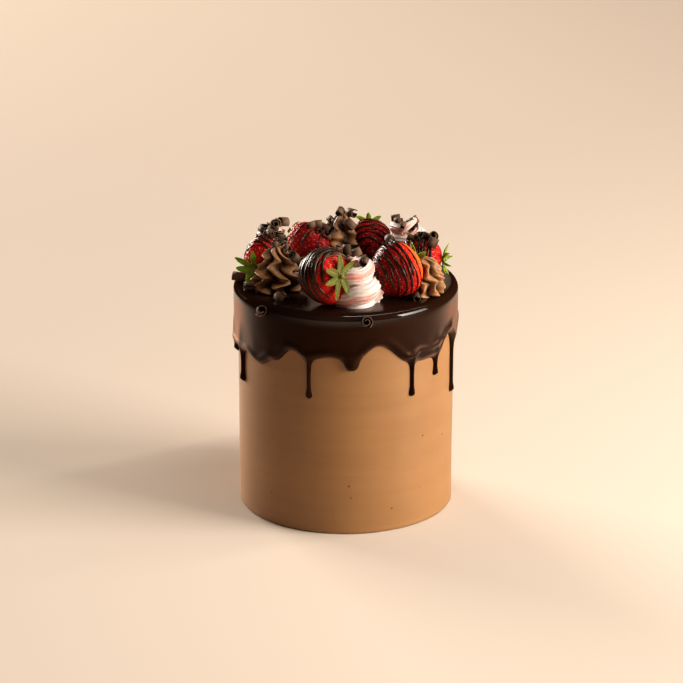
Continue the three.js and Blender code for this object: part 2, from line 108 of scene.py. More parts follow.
# Lower edge of the ganache, as azimuth and height, and its drips, as azimuth, tip height and half width
HEM = [
    (3, 126), (17.5, 136), (35, 122), (44, 120), (55, 120), (66, 132), (76, 123), (90, 131), (104, 119),
    (118, 133), (132, 121), (146, 117), (160, 131), (176, 120), (190, 129), (204, 118), (219, 132),
    (234, 121), (248, 127), (262, 128), (276, 118), (297, 119), (309, 115), (320, 121), (331, 131),
    (340, 126), (352, 129),
]
DRIPS = [
    (3, 120, 3.6), (36.7, 96, 2.2), (54, 105.5, 2.1), (74.5, 84.5, 2.2), (104, 103, 2.2), (131, 91, 2.4),
    (147, 108, 2.1), (176, 88, 2.3), (204, 101, 2.2), (234, 93, 2.3), (276.5, 111, 2.1),
    (290.7, 94.6, 2.5), (340.4, 98, 2.1),
]
# Form of a drip, as shares of its half width: the bead, the neck, and how much the neck swells to the bead
# and over what length; then how much it flares, over how many millimetres, and its root above the hem
DRIP_BEAD = 1.15
DRIP_NECK = 0.68
DRIP_SWELL = (0.42, 1.5)
DRIP_FLARE = (0.4, 14)
DRIP_ROOT = 4
DRIP_FILLET = 5.0

# Soft ridge where a second run of ganache stopped, as azimuth and height, and its height and half width
FOLD = [(32, 126), (40, 130), (49, 128.5), (60, 132), (70, 140)]
FOLD_PROUD = 1.1
FOLD_HALF = 2.4
FOLD_FADE = 6.0
# The thicker bead just inside the ganache's edge: how proud it is, how far in and how wide
HEM_BEAD = (0.7, 4.2, 2.2)

# Strawberries: the tip is the way from the leaves to the pointed end
BERRIES = [
    dict(side="left", azimuth=271, ring=55, lift=2, length=35, width=28, tip=(0.42, 0.88, 0.22)),
    dict(side="front", azimuth=343.8, ring=53.7, lift=0, length=36, width=38, tip=(-0.6, 0.75, -0.25)),
    dict(side="right_front", azimuth=40.3, ring=49.8, lift=0, length=37, width=39, tip=(-0.8, -0.5, -0.25)),
    dict(side="right", azimuth=99, ring=50, lift=0, length=35, width=28, tip=(-0.97, 0.15, 0.05)),
    dict(side="back", azimuth=160, ring=53, lift=0, length=33, width=27, tip=(0.1, -0.9, -0.42)),
    dict(side="back_left", azimuth=209, ring=51, lift=0, length=36, width=26, tip=(0.7, -0.7, -0.12)),
]
REST_GAP = 0.3
BERRY_SHOULDER = 0.45
BERRY_TAPER = 0.7
BERRY_COLUMNS = 224
BERRY_ROWS = 104
# How far from round a strawberry is, two-sided and three-sided, and its lumps, as depth and size
BERRY_GIRTH = (0.03, 0.022)
BERRY_LUMPS = (0.25, 7)
# Share of its length at which a strawberry's core lies, which its dimples sink toward
BERRY_CORE = 0.42
SEED_AREA = 13.0
SEED_TURN = 137.508
SEED_BAND = (0.02, 0.995)
SEED_SIZE = (0.42, 0.68, 0.3)
SEED_SCATTER = (0.85, 1.15)
SEED_SINK = 0.42
DIMPLE_DEPTH = 0.7
DIMPLE_RADIUS = 1.15
# Ripeness by the leaves, its gain to the middle, its step between strawberries, and its patches, as
# strength and size
RIPE_START = 0.5
RIPE_GAIN = 0.24
RIPE_STEP = 0.05
RIPE_PATCHES = (0.06, 9)
# How pale each strawberry is by its leaves, and how far along it that reaches. The right_front strawberry's
# leaves lie on its lit right side, and its wide pale orange shoulder is partly real paleness and partly
# painted light.
PALE_START = 0.04
PALE_SHOULDER_AND_PAINTED_LIGHT = dict(
    left=(0.15, 0.42), front=(0.1, 0.42), right_front=(0.6, 0.7),
    right=(0.1, 0.42), back=(0.22, 0.8), back_left=(0.2, 0.7),
)

# Chocolate lines over each strawberry: how many, the shares of its length between which they lie,
# and their half width
DRIZZLE = dict(
    left=(9, 0.2, 0.9, 0.8), front=(18, 0.1, 0.95, 1.45), right_front=(13, 0.22, 0.95, 0.85),
    right=(13, 0.2, 0.92, 0.95), back=(12, 0.12, 0.92, 0.64), back_left=(4, 0.3, 0.85, 0.8),
)
# How far round its strawberry a line reaches, in degrees to either side, and how uneven that is
DRIZZLE_REACH = dict(left=120, front=165, right_front=150, right=130, back=130, back_left=110)
DRIZZLE_UNEVEN = 0.2
DRIZZLE_BAND = (0.05, 0.97)
DRIZZLE_SLANT = 3.2
DRIZZLE_BACK_STROKE = -0.4
DRIZZLE_WOBBLE = 0.35
DRIZZLE_THICK = (0.6, 1.25)
DRIZZLE_SWELL = 0.22
DRIZZLE_FADE = 0.75
DRIZZLE_SUNK = 0.3
DRIZZLE_STEPS = 44
DRIZZLE_SIDES = 8

# Leaves: how closely each calyx hugs its strawberry, how far its tips curl away, its size and its paleness
LEAVES = dict(
    left=dict(hug=0.1, curl=2.0, size=1.0, pale=0.45),
    front=dict(hug=0.12, curl=2.2, size=1.0, pale=1.0),
    right_front=dict(hug=0.4, curl=4.0, size=0.9, pale=0.6),
    right=dict(hug=0.0, curl=4.5, size=0.62, pale=0.0),
    back=dict(hug=0.25, curl=1.5, size=0.8, pale=0.1),
    back_left=dict(hug=0.8, curl=0.5, size=0.7, pale=0.1),
)
LEAF_GAP = 0.05
SEPALS = 7
SEPAL_LENGTH = (12.5, 16.0)
SEPAL_WIDTH = 7.4
SEPAL_WIDER = (0.85, 1.15)
SEPAL_CURL = (0.4, 1.6)
SEPAL_SWAY = 0.22
SEPAL_UNEVEN = 0.2
SEPAL_CUP = 0.7
SEPAL_RIPPLE = 0.25
SEPAL_RAISED = 0.35
SEPAL_LAYER = 0.25
SEPAL_THICK = 0.55
SEPAL_THINNING = 0.6
SEPAL_ROWS = 18
SEPAL_HALF = 4
CALYX_HUB = 2.6
STEM_RADIUS = 1.3
STEM_LENGTH = 3.4
STEM_COLUMNS = 20
# Outline of a sepal: its scale, how far along it starts, and how fast it widens and narrows
SEPAL_OUTLINE = (1.3, 0.18, 0.55, 0.66)
# Where on a leaf's colours the stem lies: across and along it
STEM_LOOK = (0.35, 0.9)

# Piped swirls
SWIRLS = [
    dict(kind="chocolate", side="front_left", azimuth=293.8, ring=50.8, radius=20, height=30),
    dict(kind="cream", side="front", azimuth=7.5, ring=52, radius=21, height=37),
    dict(kind="chocolate", side="right", azimuth=60.5, ring=62.5, radius=14.5, height=26.5),
    dict(kind="cream", side="back_right", azimuth=131, ring=57, radius=19, height=37),
    dict(kind="chocolate", side="back", azimuth=185, ring=52, radius=21.5, height=32.5),
    dict(kind="cream", side="back_left", azimuth=246, ring=57, radius=19, height=37),
]
SWIRL_SINK = 0.6
# Ruffles of the chocolate swirls: how many, how far they wave, how deep they are, how fast they taper
# and how far their painted shade and highlight are lifted, which makes their folds paler
RUFFLES = dict(
    front_left=dict(count=6, wave=1.9, depth=0.56, taper=0.42, pale=0.0),
    right=dict(count=8, wave=1.6, depth=0.34, taper=0.24, pale=0.22),
    back=dict(count=5, wave=0.9, depth=0.34, taper=0.55, pale=0.0),
)
RUFFLE_COLUMNS = 260
RUFFLE_ROWS = 130
RUFFLE_TWIST = 0.9
RUFFLE_PITCH = 12.5
RUFFLE_SWAY = 1.3
RUFFLE_ROUND = 0.9
RUFFLE_BEAD = 0.07
RUFFLE_RISE = 1.1
# How far a mound draws in at its foot, and how fast that ends
RUFFLE_FOOT = (0.35, 18)
PEAK_LEAN = 2.5
PEAK_RADIUS = 0.05
# How much painted light the poles of a mound get: its foot and its peak
POLE_PAINTED_LIGHT = (0.5, 0.8)

# Rope of piped cream: its half width as a share of its swirl's radius, its turns, how fast they draw in,
# its star's points and depth, its twist, first and from swirl to swirl, and its drift by hand and that
# drift's scale
CREAM_ROPE = 0.5
CREAM_TURNS = 2.8
CREAM_TAPER = 0.27
CREAM_STAR = (14, 0.32)
CREAM_TWIST = (1.2, 0.7)
CREAM_DRIFT = 10
DRIFT_SCALE = 60.0
CREAM_LEAN = 1.0
CREAM_VOXEL = 0.42
# The rope's path: steps, the share of it that lies flat, and how far its ends stay from foot and peak
ROPE_STEPS = 240
ROPE_LYING = 0.28
ROPE_FOOT = 0.72
ROPE_HEAD = 0.85
# How much the rope thins on its way up, how suddenly it ends, and its pink stripes
ROPE_THINNING = 0.4
ROPE_ENDING = 4.5
PINK_STRIPES = 3
# How the star's corners are rounded: their radius, as a share of the rope's, and its steps
STAR_ROUNDING = (0.1, 3)
# Core under the rope, as shares of the swirl's radius and height
CREAM_CORE = (0.62, 0.8)
CORE_SIDES = 32
# How rope and core are fused: the band inside them that is filled, in voxels, and the density at the skin
FUSED_BAND = 2.0
FUSED_SKIN = 0.12

# Chocolate curls
CURL_RADIUS = 3.3
CURL_WALL = 0.55
CURL_LENGTH = 6.4
CURL_SIZE = (0.65, 1.2)
CURL_STRETCH = (0.7, 1.25)
CURL_TILT = (60, 110)
CURL_ROLL = (-70, 70)
CURL_SINK = 0.9
CURL_STEPS = 18
# How many turns each form of curl is rolled up by, and the form that the first curl has
CURL_FORMS = (0.55, 0.9, 1.1, 1.3, 1.6)
FIRST_FORM = 3
# Where a curl's inner end starts, as a share of its radius: with no turns, how much less for each turn, and
# at least
CURL_HOLLOW = (0.95, 0.42, 0.25)
# How near two curls may come, as a share of their radii
CURL_PACKING = 0.64
DROP_HEIGHT = 300.0
# Heaps of curls dropped on the toppings, as azimuth, distance from the axis, radius of the heap and count
CURL_HEAPS = [
    (253, 52, 10, 15), (204, 47, 7, 5), (183, 50, 9, 6), (0, 43, 8, 9), (292, 42, 11, 8),
    (132, 55, 10, 6), (98, 54, 10, 9), (40, 47, 3, 2), (10, 58, 5, 2), (262, 62, 6, 2), (290, 71, 1, 1),
    (160, 32, 7, 3), (271, 75, 1, 1), (251, 70.5, 1, 1), (268, 46, 8, 6), (241, 54, 6, 4),
]
# A curl's number scatters its form and turn: the first in the heaps, and the step from heap to heap
FIRST_IN_HEAPS = 20
NUMBERS_A_HEAP = 13
CURLS_IN_MIDDLE = 16
MIDDLE_RADIUS = 30
SECOND_LAYER = 3.5
# Curls stuck to the ganache's edge, as azimuth, height and size, the way their hollows face, and how far
# out and up the edge pushes them
CURLS_ON_EDGE = [(313.5, 155, 1.25), (9.7, 154.5, 1.25), (268, 159, 0.85)]
EDGE_CURL_WAY = (0.15, -0.9, 0.4)
EDGE_CURL_OUT = (0.85, 0.5)
EDGE_CURL_SINK = 2.6
# Curls on the ganache's top, as azimuth and distance from the axis
CURLS_ON_TOP = [(317, 65), (47, 66)]

# Camera: its lens and sensor in millimetres, how far it sees and where it stands in metres
LENS = 152.86
SENSOR = 36
SEES_TO = 50
CAMERA_AT = (-0.0030, -1.9137, 0.7849)
CAMERA_PITCH = 70.69

# Soft boxes, in metres and watts, aimed at a height on the cake's axis
AIM_HEIGHT = 0.1
SOFT_BOXES = [
    dict(
        name="right_soft_box", azimuth=72, elevation=18, distance=1.6,
        size=(0.9, 0.6), power=56, colour=(1.0, 0.96, 0.86),
    ),
    dict(
        name="left_rim_box", azimuth=221, elevation=11, distance=5.0,
        size=(3.0, 1.6), power=560, colour=(1.0, 0.93, 0.82),
    ),
    dict(
        name="top_strip", azimuth=81, elevation=66, distance=0.88,
        size=(0.045, 1.0), power=4.9, colour=(1.0, 0.95, 0.88), roll=45,
    ),
    dict(
        name="back_wall", azimuth=180, elevation=14, distance=3.0,
        size=(6.0, 1.2), power=14, colour=(1.0, 0.78, 0.56),
    ),
]
# A box behind the cake that shines straight down, and how wide its beam spreads
FLOOR_BOX = dict(
    name="backdrop_box", azimuth=180, elevation=42, distance=1.75,
    size=(1.2, 0.8), power=1.5, colour=(1.0, 0.92, 0.84),
)
FLOOR_BOX_SPREAD = 95
ROOM_COLOUR = (1.0, 0.84, 0.68, 1)
ROOM_LIGHT = 0.065
# Floor, in millimetres
FLOOR_HALF = 6000
FLOOR_HEIGHT = -0.05


# Small helpers


def unit(way):
    """The way as a unit vector."""
    way = np.asarray(way, float)
    return way / np.linalg.norm(way)


def around(azimuth, reach, height):
    """A point at an azimuth, a distance from the cake's axis and a height."""
    turn = np.radians(azimuth)
    return np.array([reach * np.sin(turn), -reach * np.cos(turn), height])


def spread(limits, number, step):
    """The number's place between two limits, scattered evenly by a step."""
    low, high = limits
    return low + (high - low) * ((number * step) % 1)


def ease(value, low, high):
    """Smooth step of a value from 0 at low to 1 at high."""
    share = np.clip((value - low) / (high - low), 0, 1)
    return share * share * (3 - 2 * share)


def turned_to(way):
    """A turn that lays z along the way, with x leaning up."""
    z = unit(way)
    up = (0, 1, 0) if z[2] > 0.99 else (0, 0, 1)
    y = unit(np.cross(z, up))
    return np.column_stack([np.cross(y, z), y, z])


def spin(axis, degrees):
    """A turn about one axis."""
    return np.array(Matrix.Rotation(math.radians(degrees), 3, axis))


def ripple(points, size, seed):
    """Smooth noise from -1 to 1 at each point, with bumps of about the size."""
    shift = Vector((seed * 17.3, seed * 5.1, seed * 9.7))
    return np.array([noise.noise(Vector(p) / size + shift) for p in points])


def ring_faces(rows, columns):
    """Quads between rings of points, facing out where the rings rise."""
    faces = []
    for row in range(rows - 1):
        low = row * columns
        high = low + columns
        for column in range(columns):
            after = (column + 1) % columns
            faces.append((low + column, low + after, high + after, high + column))
    return faces


def cap_faces(centre, ring, columns, down):
    """Triangles from a centre point to a ring of points."""
    faces = []
    for column in range(columns):
        after = (column + 1) % columns
        edge = (ring + after, ring + column) if down else (ring + column, ring + after)
        faces.append((centre,) + edge)
    return faces


def shell_faces(sheet, partner):
    """Faces of a thin shell: a sheet, its partner facing the other way, and the wall round its edge."""
    edges = {(a, b) for face in sheet for a, b in zip(face, face[1:] + face[:1])}
    rim = sorted((a, b) for a, b in edges if (b, a) not in edges)
    other = [tuple(partner(point) for point in reversed(face)) for face in sheet]
    return sheet + other + [(b, a, partner(a), partner(b)) for a, b in rim]


def lathe(points, rows, columns):
    """Points and faces of a closed shape from its rising rings and its two poles."""
    rings = points.reshape(rows * columns, 3)
    bottom = points[0].mean(axis=0)
    top = points[-1].mean(axis=0)
    last = rows * columns
    faces = ring_faces(rows, columns)
    faces += cap_faces(last, 0, columns, True)
    faces += cap_faces(last + 1, last - columns, columns, False)
    return np.vstack([rings, bottom, top]), faces


def add_piece(name, mesh, replaced=()):
    """Puts a finished mesh in the scene as a piece of the cake."""
    piece = bpy.data.objects.new(name, mesh)
    bpy.context.scene.collection.objects.link(piece)
    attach(piece, "root")
    if replaced:
        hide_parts(*replaced)
    return piece


def make_mesh(name, points, faces, material, attributes=None):
    """A smooth mesh from points in millimetres."""
    mesh = bpy.data.meshes.new(name)
    mesh.from_pydata((np.asarray(points) * MM).tolist(), [], faces)
    mesh.polygons.foreach_set("use_smooth", [True] * len(mesh.polygons))
    mesh.materials.append(material)
    for label, values in (attributes or {}).items():
        layer = mesh.attributes.new(label, "FLOAT", "POINT")
        layer.data.foreach_set("value", np.asarray(values, np.float32))
    mesh.update()
    return mesh


# Geometry Nodes helpers


def new_tree(name, sizes):
    """A Geometry Nodes tree with named inputs for its sizes, and its input node."""
    tree = bpy.data.node_groups.new(name, "GeometryNodeTree")
    tree.interface.new_socket("Geometry", in_out="INPUT", socket_type="NodeSocketGeometry")
    for label, value in sizes.items():
        kind = "NodeSocketInt" if isinstance(value, int) else "NodeSocketFloat"
        tree.interface.new_socket(label, in_out="INPUT", socket_type=kind)
    tree.interface.new_socket("Geometry", in_out="OUTPUT", socket_type="NodeSocketGeometry")
    return tree, tree.nodes.new("NodeGroupInput")


def node(tree, kind, values=(), **settings):
    """A node with its settings made and its inputs linked or set."""
    made = tree.nodes.new(kind)
    for label, value in settings.items():
        setattr(made, label, value)
    for label, value in dict(values).items():
        socket = made.inputs[label]
        if isinstance(value, bpy.types.NodeSocket):
            tree.links.new(value, socket)
        else:
            socket.default_value = value
    return made


def result(tree, kind, values=(), **settings):
    """The first output of a new node."""
    return node(tree, kind, values, **settings).outputs[0]


def maths(tree, work, *values):
    """The result of a piece of maths on sockets and numbers."""
    return result(tree, "ShaderNodeMath", list(enumerate(values)), operation=work)


def named(tree, label, kind):
    """A named attribute of the geometry."""
    return result(tree, "GeometryNodeInputNamedAttribute", {"Name": label}, data_type=kind)


def stored(tree, geometry, label, value):
    """The geometry with a value stored on its points."""
    values = {"Geometry": geometry, "Name": label, "Value": value}
    return result(tree, "GeometryNodeStoreNamedAttribute", values, data_type="FLOAT", domain="POINT")


def close_tree(tree, geometry, material):
    """Ends a tree: plain mesh, smooth, with its material."""
    solid = result(tree, "GeometryNodeRealizeInstances", {"Geometry": geometry})
    smooth = result(tree, "GeometryNodeSetShadeSmooth", {"Geometry": solid})
    done = result(tree, "GeometryNodeSetMaterial", {"Geometry": smooth, "Material": material})
    node(tree, "NodeGroupOutput", {"Geometry": done})


def grow(name, tree, sizes, start=None):
    """Runs a tree on a start mesh and returns what it makes as a plain mesh."""
    maker = bpy.data.objects.new(name + "_maker", start or bpy.data.meshes.new(name + "_start"))
    bpy.context.scene.collection.objects.link(maker)
    modifier = maker.modifiers.new("Tree", "NODES")
    modifier.node_group = tree
    for item in tree.interface.items_tree:
        if item.in_out == "INPUT" and item.name in sizes:
            modifier[item.identifier] = sizes[item.name]
    bpy.context.view_layer.update()
    made = maker.evaluated_get(bpy.context.evaluated_depsgraph_get())
    mesh = bpy.data.meshes.new_from_object(made)
    mesh.name = name
    bpy.data.objects.remove(maker)
    return mesh


def point_mesh(name, points, turns, sizes, forms=0):
    """Loose points in millimetres that carry a turn, a size and a form each."""
    mesh = bpy.data.meshes.new(name)
    mesh.from_pydata((np.asarray(points) * MM).tolist(), [], [])
    layer = mesh.attributes.new("turn", "QUATERNION", "POINT")
    quaternions = [Matrix(turn.tolist()).to_quaternion() for turn in turns]
    layer.data.foreach_set("value", np.array(quaternions, np.float32).ravel())
    layer = mesh.attributes.new("size", "FLOAT_VECTOR", "POINT")
    sizes = np.reshape(np.array(sizes, np.float32), (len(points), -1))
    layer.data.foreach_set("vector", np.broadcast_to(sizes, (len(points), 3)).ravel())
    layer = mesh.attributes.new("form", "INT", "POINT")
    layer.data.foreach_set("value", np.broadcast_to(np.array(forms, np.int32), len(points)).copy())
    return mesh


# Materials


def new_finish(name, roughness, specular, **constants):
    """A material with its shader's constant values set, and the parts needed to paint it."""
    material = bpy.data.materials.new(name)
    material.use_nodes = True
    tree = material.node_tree
    shader = tree.nodes["Principled BSDF"]
    shader.inputs["Roughness"].default_value = roughness
    shader.inputs["Specular IOR Level"].default_value = specular
    for label, value in constants.items():
        shader.inputs[label.replace("_", " ")].default_value = value
    return material, tree, shader


def place_on(tree, scale=(1, 1, 1)):
    """Object coordinates, stretched by a scale."""
    coordinates = node(tree, "ShaderNodeTexCoord").outputs["Object"]
    return result(tree, "ShaderNodeMapping", {"Vector": coordinates, "Scale": scale})


def grain(tree, scale, detail, stretch=(1, 1, 1)):
    """Noise from 0 to 1 in object coordinates."""
    values = {"Vector": place_on(tree, stretch), "Scale": scale, "Detail": detail}
    return node(tree, "ShaderNodeTexNoise", values).outputs["Fac"]


def ramp(tree, factor, stops):
    """Colours laid along a factor."""
    made = node(tree, "ShaderNodeValToRGB", {"Fac": factor})
    elements = made.color_ramp.elements
    while len(elements) < len(stops):
        elements.new(0.5)
    for element, (place, colour) in zip(elements, stops):
        element.position = place
        element.color = (*colour, 1)
    return made.outputs["Color"]


def blend(tree, factor, first, second, mode="MIX"):
    """Two colours mixed by a factor."""
    values = {0: factor, 6: first, 7: second}
    for place, value in values.items():
        if isinstance(value, tuple):
            values[place] = (*value, 1)
    return node(tree, "ShaderNodeMix", values, data_type="RGBA", blend_type=mode).outputs[2]


def relief(tree, shader, height, depth):
    """Fine relief of a depth in metres from a height field."""
    values = {"Height": height, "Strength": 1.0, "Distance": depth}
    tree.links.new(result(tree, "ShaderNodeBump", values), shader.inputs["Normal"])


def own_value(tree, label):
    """A value that the piece carries in its mesh."""
    return node(tree, "ShaderNodeAttribute", attribute_name=label).outputs["Fac"]


def vary_roughness(tree, shader, factor, low, high):
    """Roughness that runs between two values along a factor."""
    values = {"Value": factor, "To Min": low, "To Max": high}
    tree.links.new(result(tree, "ShaderNodeMapRange", values), shader.inputs["Roughness"])


def buttercream_finish():
    """Satin chocolate buttercream with level scraper streaks, soft clouds and a few dark pits."""
    material, tree, shader = new_finish("buttercream", 0.5, 0.4)
    clouds = grain(tree, 22, 4)
    streaks = grain(tree, 60, 4, stretch=(0.15, 0.15, 2.4))
    pits = node(tree, "ShaderNodeTexVoronoi", {"Vector": place_on(tree), "Scale": 85}).outputs["Distance"]
    pit = maths(tree, "LESS_THAN", pits, 0.07)
    some = maths(tree, "GREATER_THAN", grain(tree, 30, 1), 0.53)
    speck = maths(tree, "MULTIPLY", pit, some)
    base = ramp(tree, clouds, [(0.3, (0.270, 0.119, 0.037)), (0.7, (0.302, 0.137, 0.043))])
    tint = ramp(tree, streaks, [(0.35, (0.92, 0.905, 0.89)), (0.65, (1, 1, 1))])
    colour = blend(tree, 1.0, base, tint, "MULTIPLY")
    colour = blend(tree, speck, colour, (0.10, 0.04, 0.016))
    tree.links.new(colour, shader.inputs["Base Color"])
    vary_roughness(tree, shader, streaks, 0.42, 0.6)
    height = maths(tree, "SUBTRACT", streaks, maths(tree, "MULTIPLY", speck, 0.8))
    relief(tree, shader, height, 0.0001)
    return material


def ganache_finish():
    """Glossy dark chocolate ganache with a faint bloom, glossiest along its rim."""
    constants = dict(IOR=2.1, Coat_Roughness=0.08, Specular_Tint=(1.0, 0.45, 0.24, 1))
    material, tree, shader = new_finish("ganache", 0.3, 0.5, **constants)
    clouds = grain(tree, 28, 3)
    colour = ramp(tree, clouds, [(0.3, (0.0085, 0.0026, 0.0011)), (0.75, (0.013, 0.0040, 0.0018))])
    tree.links.new(colour, shader.inputs["Base Color"])
    run_down = own_value(tree, "run_down")
    dull = maths(tree, "MULTIPLY_ADD", grain(tree, 60, 4), 0.3, run_down)
    vary_roughness(tree, shader, dull, 0.22, 0.36)
    turned_away = node(tree, "ShaderNodeLayerWeight", {"Blend": 0.5}).outputs["Facing"]
    wall_shine = maths(tree, "MULTIPLY_ADD", maths(tree, "POWER", turned_away, 7.0), 15.0, 0.028)
    duller = maths(tree, "MULTIPLY_ADD", own_value(tree, "hang"), -0.75, 1.0)
    wall_shine = maths(tree, "MULTIPLY", maths(tree, "MINIMUM", wall_shine, 1.0), duller)
    rim = own_value(tree, "rim")
    top_shine = maths(tree, "MULTIPLY_ADD", rim, -0.15, 0.15)
    values = {"Value": run_down, "To Min": top_shine, "To Max": wall_shine}
    shine = result(tree, "ShaderNodeMapRange", values)
    tree.links.new(shine, shader.inputs["Specular IOR Level"])
    on_rim = maths(tree, "MAXIMUM", maths(tree, "SUBTRACT", rim, run_down), 0.0)
    faced = maths(tree, "POWER", maths(tree, "SUBTRACT", 1.0, turned_away), 8.0)
    rim_gloss = maths(tree, "MULTIPLY", maths(tree, "MULTIPLY", on_rim, faced), 1.5)
    tree.links.new(rim_gloss, shader.inputs["Coat Weight"])
    relief(tree, shader, grain(tree, 90, 2), 0.00008)
    return material


def strawberry_finish():
    """Ripe strawberry: pale orange by the leaves, then red to deep red, glossy between the seeds."""
    constants = dict(Coat_Weight=0.08, Coat_Roughness=0.05)
    material, tree, shader = new_finish("strawberry_flesh", 0.28, 0.02, **constants)
    mottled = maths(tree, "MULTIPLY_ADD", grain(tree, 160, 4), 0.22, -0.11)
    ripe = maths(tree, "ADD", own_value(tree, "ripe"), mottled)
    stops = [
        (0.0, (0.70, 0.125, 0.02)), (0.2, (0.64, 0.038, 0.006)), (0.42, (0.42, 0.008, 0.005)),
        (0.75, (0.21, 0.0035, 0.0045)), (1.0, (0.12, 0.003, 0.004)),
    ]
    tree.links.new(ramp(tree, ripe, stops), shader.inputs["Base Color"])
    vary_roughness(tree, shader, grain(tree, 240, 3), 0.2, 0.38)
    relief(tree, shader, grain(tree, 420, 4), 0.00012)
    return material


def seed_finish():
    """Straw-coloured strawberry seeds, some redder."""
    material, tree, shader = new_finish("strawberry_seed", 0.4, 0.4)
    colour = ramp(tree, grain(tree, 220, 2), [(0.35, (0.38, 0.10, 0.022)), (0.65, (0.24, 0.026, 0.01))])
    tree.links.new(colour, shader.inputs["Base Color"])
    return material


def drizzle_finish():
    """Set dark chocolate lines with a soft sheen."""
    constants = dict(Specular_Tint=(1.0, 0.6, 0.45, 1))
    material, tree, shader = new_finish("drizzled_chocolate", 0.2, 0.16, **constants)
    stops = [(0.3, (0.010, 0.0033, 0.0017)), (0.7, (0.022, 0.0078, 0.0040))]
    tree.links.new(ramp(tree, grain(tree, 130, 3), stops), shader.inputs["Base Color"])
    vary_roughness(tree, shader, grain(tree, 300, 3), 0.14, 0.28)
    relief(tree, shader, grain(tree, 500, 3), 0.0001)
    return material


def leaf_finish():
    """Fresh yellow-green leaf with a pale midrib, fine veins and browned tips."""
    constants = dict(Subsurface_Weight=0.35, Subsurface_Scale=0.002, Subsurface_Radius=(0.55, 1.0, 0.15))
    material, tree, shader = new_finish("strawberry_leaf", 0.48, 0.1, **constants)
    across = own_value(tree, "across")
    along = own_value(tree, "along")
    slanted = maths(tree, "MULTIPLY_ADD", along, 42, maths(tree, "MULTIPLY", across, 11))
    veins = maths(tree, "SINE", slanted)
    patches = grain(tree, 140, 4)
    fresh = ramp(tree, patches, [(0.3, (0.075, 0.105, 0.005)), (0.7, (0.21, 0.25, 0.018))])
    pale = ramp(tree, patches, [(0.3, (0.056, 0.058, 0.0035)), (0.7, (0.118, 0.108, 0.010))])
    green = blend(tree, own_value(tree, "pale"), fresh, pale)
    rib = maths(tree, "SUBTRACT", 0.7, maths(tree, "MULTIPLY", across, 5.5))
    green = blend(tree, maths(tree, "MAXIMUM", rib, 0.0), green, (0.2, 0.2, 0.042))
    tip = maths(tree, "MULTIPLY_ADD", along, 5.0, -4.2)
    green = blend(tree, maths(tree, "MAXIMUM", tip, 0.0), green, (0.20, 0.14, 0.04))
    tree.links.new(green, shader.inputs["Base Color"])
    vary_roughness(tree, shader, patches, 0.4, 0.58)
    relief(tree, shader, maths(tree, "MULTIPLY_ADD", veins, 0.3, patches), 0.0002)
    return material


def piped_chocolate_finish():
    """Satin piped chocolate buttercream, with painted shade down in its folds and painted highlight on its
    crests.
    """
    material, tree, shader = new_finish("piped_chocolate", 0.42, 0.25)
    # Painted light from the lobes: near black in the folds, pale tan on the crests
    painted_crest_light = maths(tree, "MULTIPLY_ADD", own_value(tree, "painted_crest_light"), 0.8, -0.1)
    patches = maths(tree, "MULTIPLY_ADD", grain(tree, 120, 3), 0.3, painted_crest_light)
    colour = ramp(tree, patches, [(0.2, (0.042, 0.016, 0.0065)), (0.85, (0.325, 0.142, 0.053))])
    tree.links.new(colour, shader.inputs["Base Color"])
    vary_roughness(tree, shader, grain(tree, 200, 3), 0.34, 0.5)
    relief(tree, shader, grain(tree, 320, 4), 0.00012)
    return material


def piped_cream_finish():
    """White piped cream with strawberry-pink streaks that follow its ridges."""
    constants = dict(Subsurface_Weight=0.2, Subsurface_Scale=0.004, Subsurface_Radius=(1.0, 0.6, 0.45))
    material, tree, shader = new_finish("piped_cream", 0.45, 0.4, **constants)
    wander = maths(tree, "MULTIPLY_ADD", grain(tree, 110, 3), 1.1, -0.55)
    streak = maths(tree, "ADD", own_value(tree, "pink"), wander)
    stops = [(0.45, (0.63, 0.505, 0.45)), (0.72, (0.66, 0.43, 0.375)), (0.95, (0.64, 0.26, 0.21))]
    tree.links.new(ramp(tree, streak, stops), shader.inputs["Base Color"])
    vary_roughness(tree, shader, grain(tree, 240, 3), 0.38, 0.52)
    relief(tree, shader, grain(tree, 380, 4), 0.0001)
    return material


def curl_finish():
    """Dull dark chocolate curls with a bloom on their outsides and painted shade in their hollows."""
    material, tree, shader = new_finish("chocolate_curl", 0.5, 0.07)
    bloom = grain(tree, 150, 4)
    colour = ramp(tree, bloom, [(0.35, (0.046, 0.0225, 0.0125)), (0.7, (0.15, 0.083, 0.049))])
    # Painted shade: the inner side of each roll is darkened nearly to black
    hollow = maths(tree, "MULTIPLY", own_value(tree, "inside"), 0.9)
    colour = blend(tree, hollow, colour, (0.010, 0.0045, 0.003))
    tree.links.new(colour, shader.inputs["Base Color"])
    vary_roughness(tree, shader, bloom, 0.4, 0.62)
    relief(tree, shader, grain(tree, 420, 4, stretch=(1, 1, 0.3)), 0.0002)
    return material


BUTTERCREAM = buttercream_finish()
GANACHE = ganache_finish()
STRAWBERRY = strawberry_finish()
SEED = seed_finish()
DRIZZLED = drizzle_finish()
LEAF = leaf_finish()
PIPED_CHOCOLATE = piped_chocolate_finish()
PIPED_CREAM = piped_cream_finish()
CURL = curl_finish()


# Cake


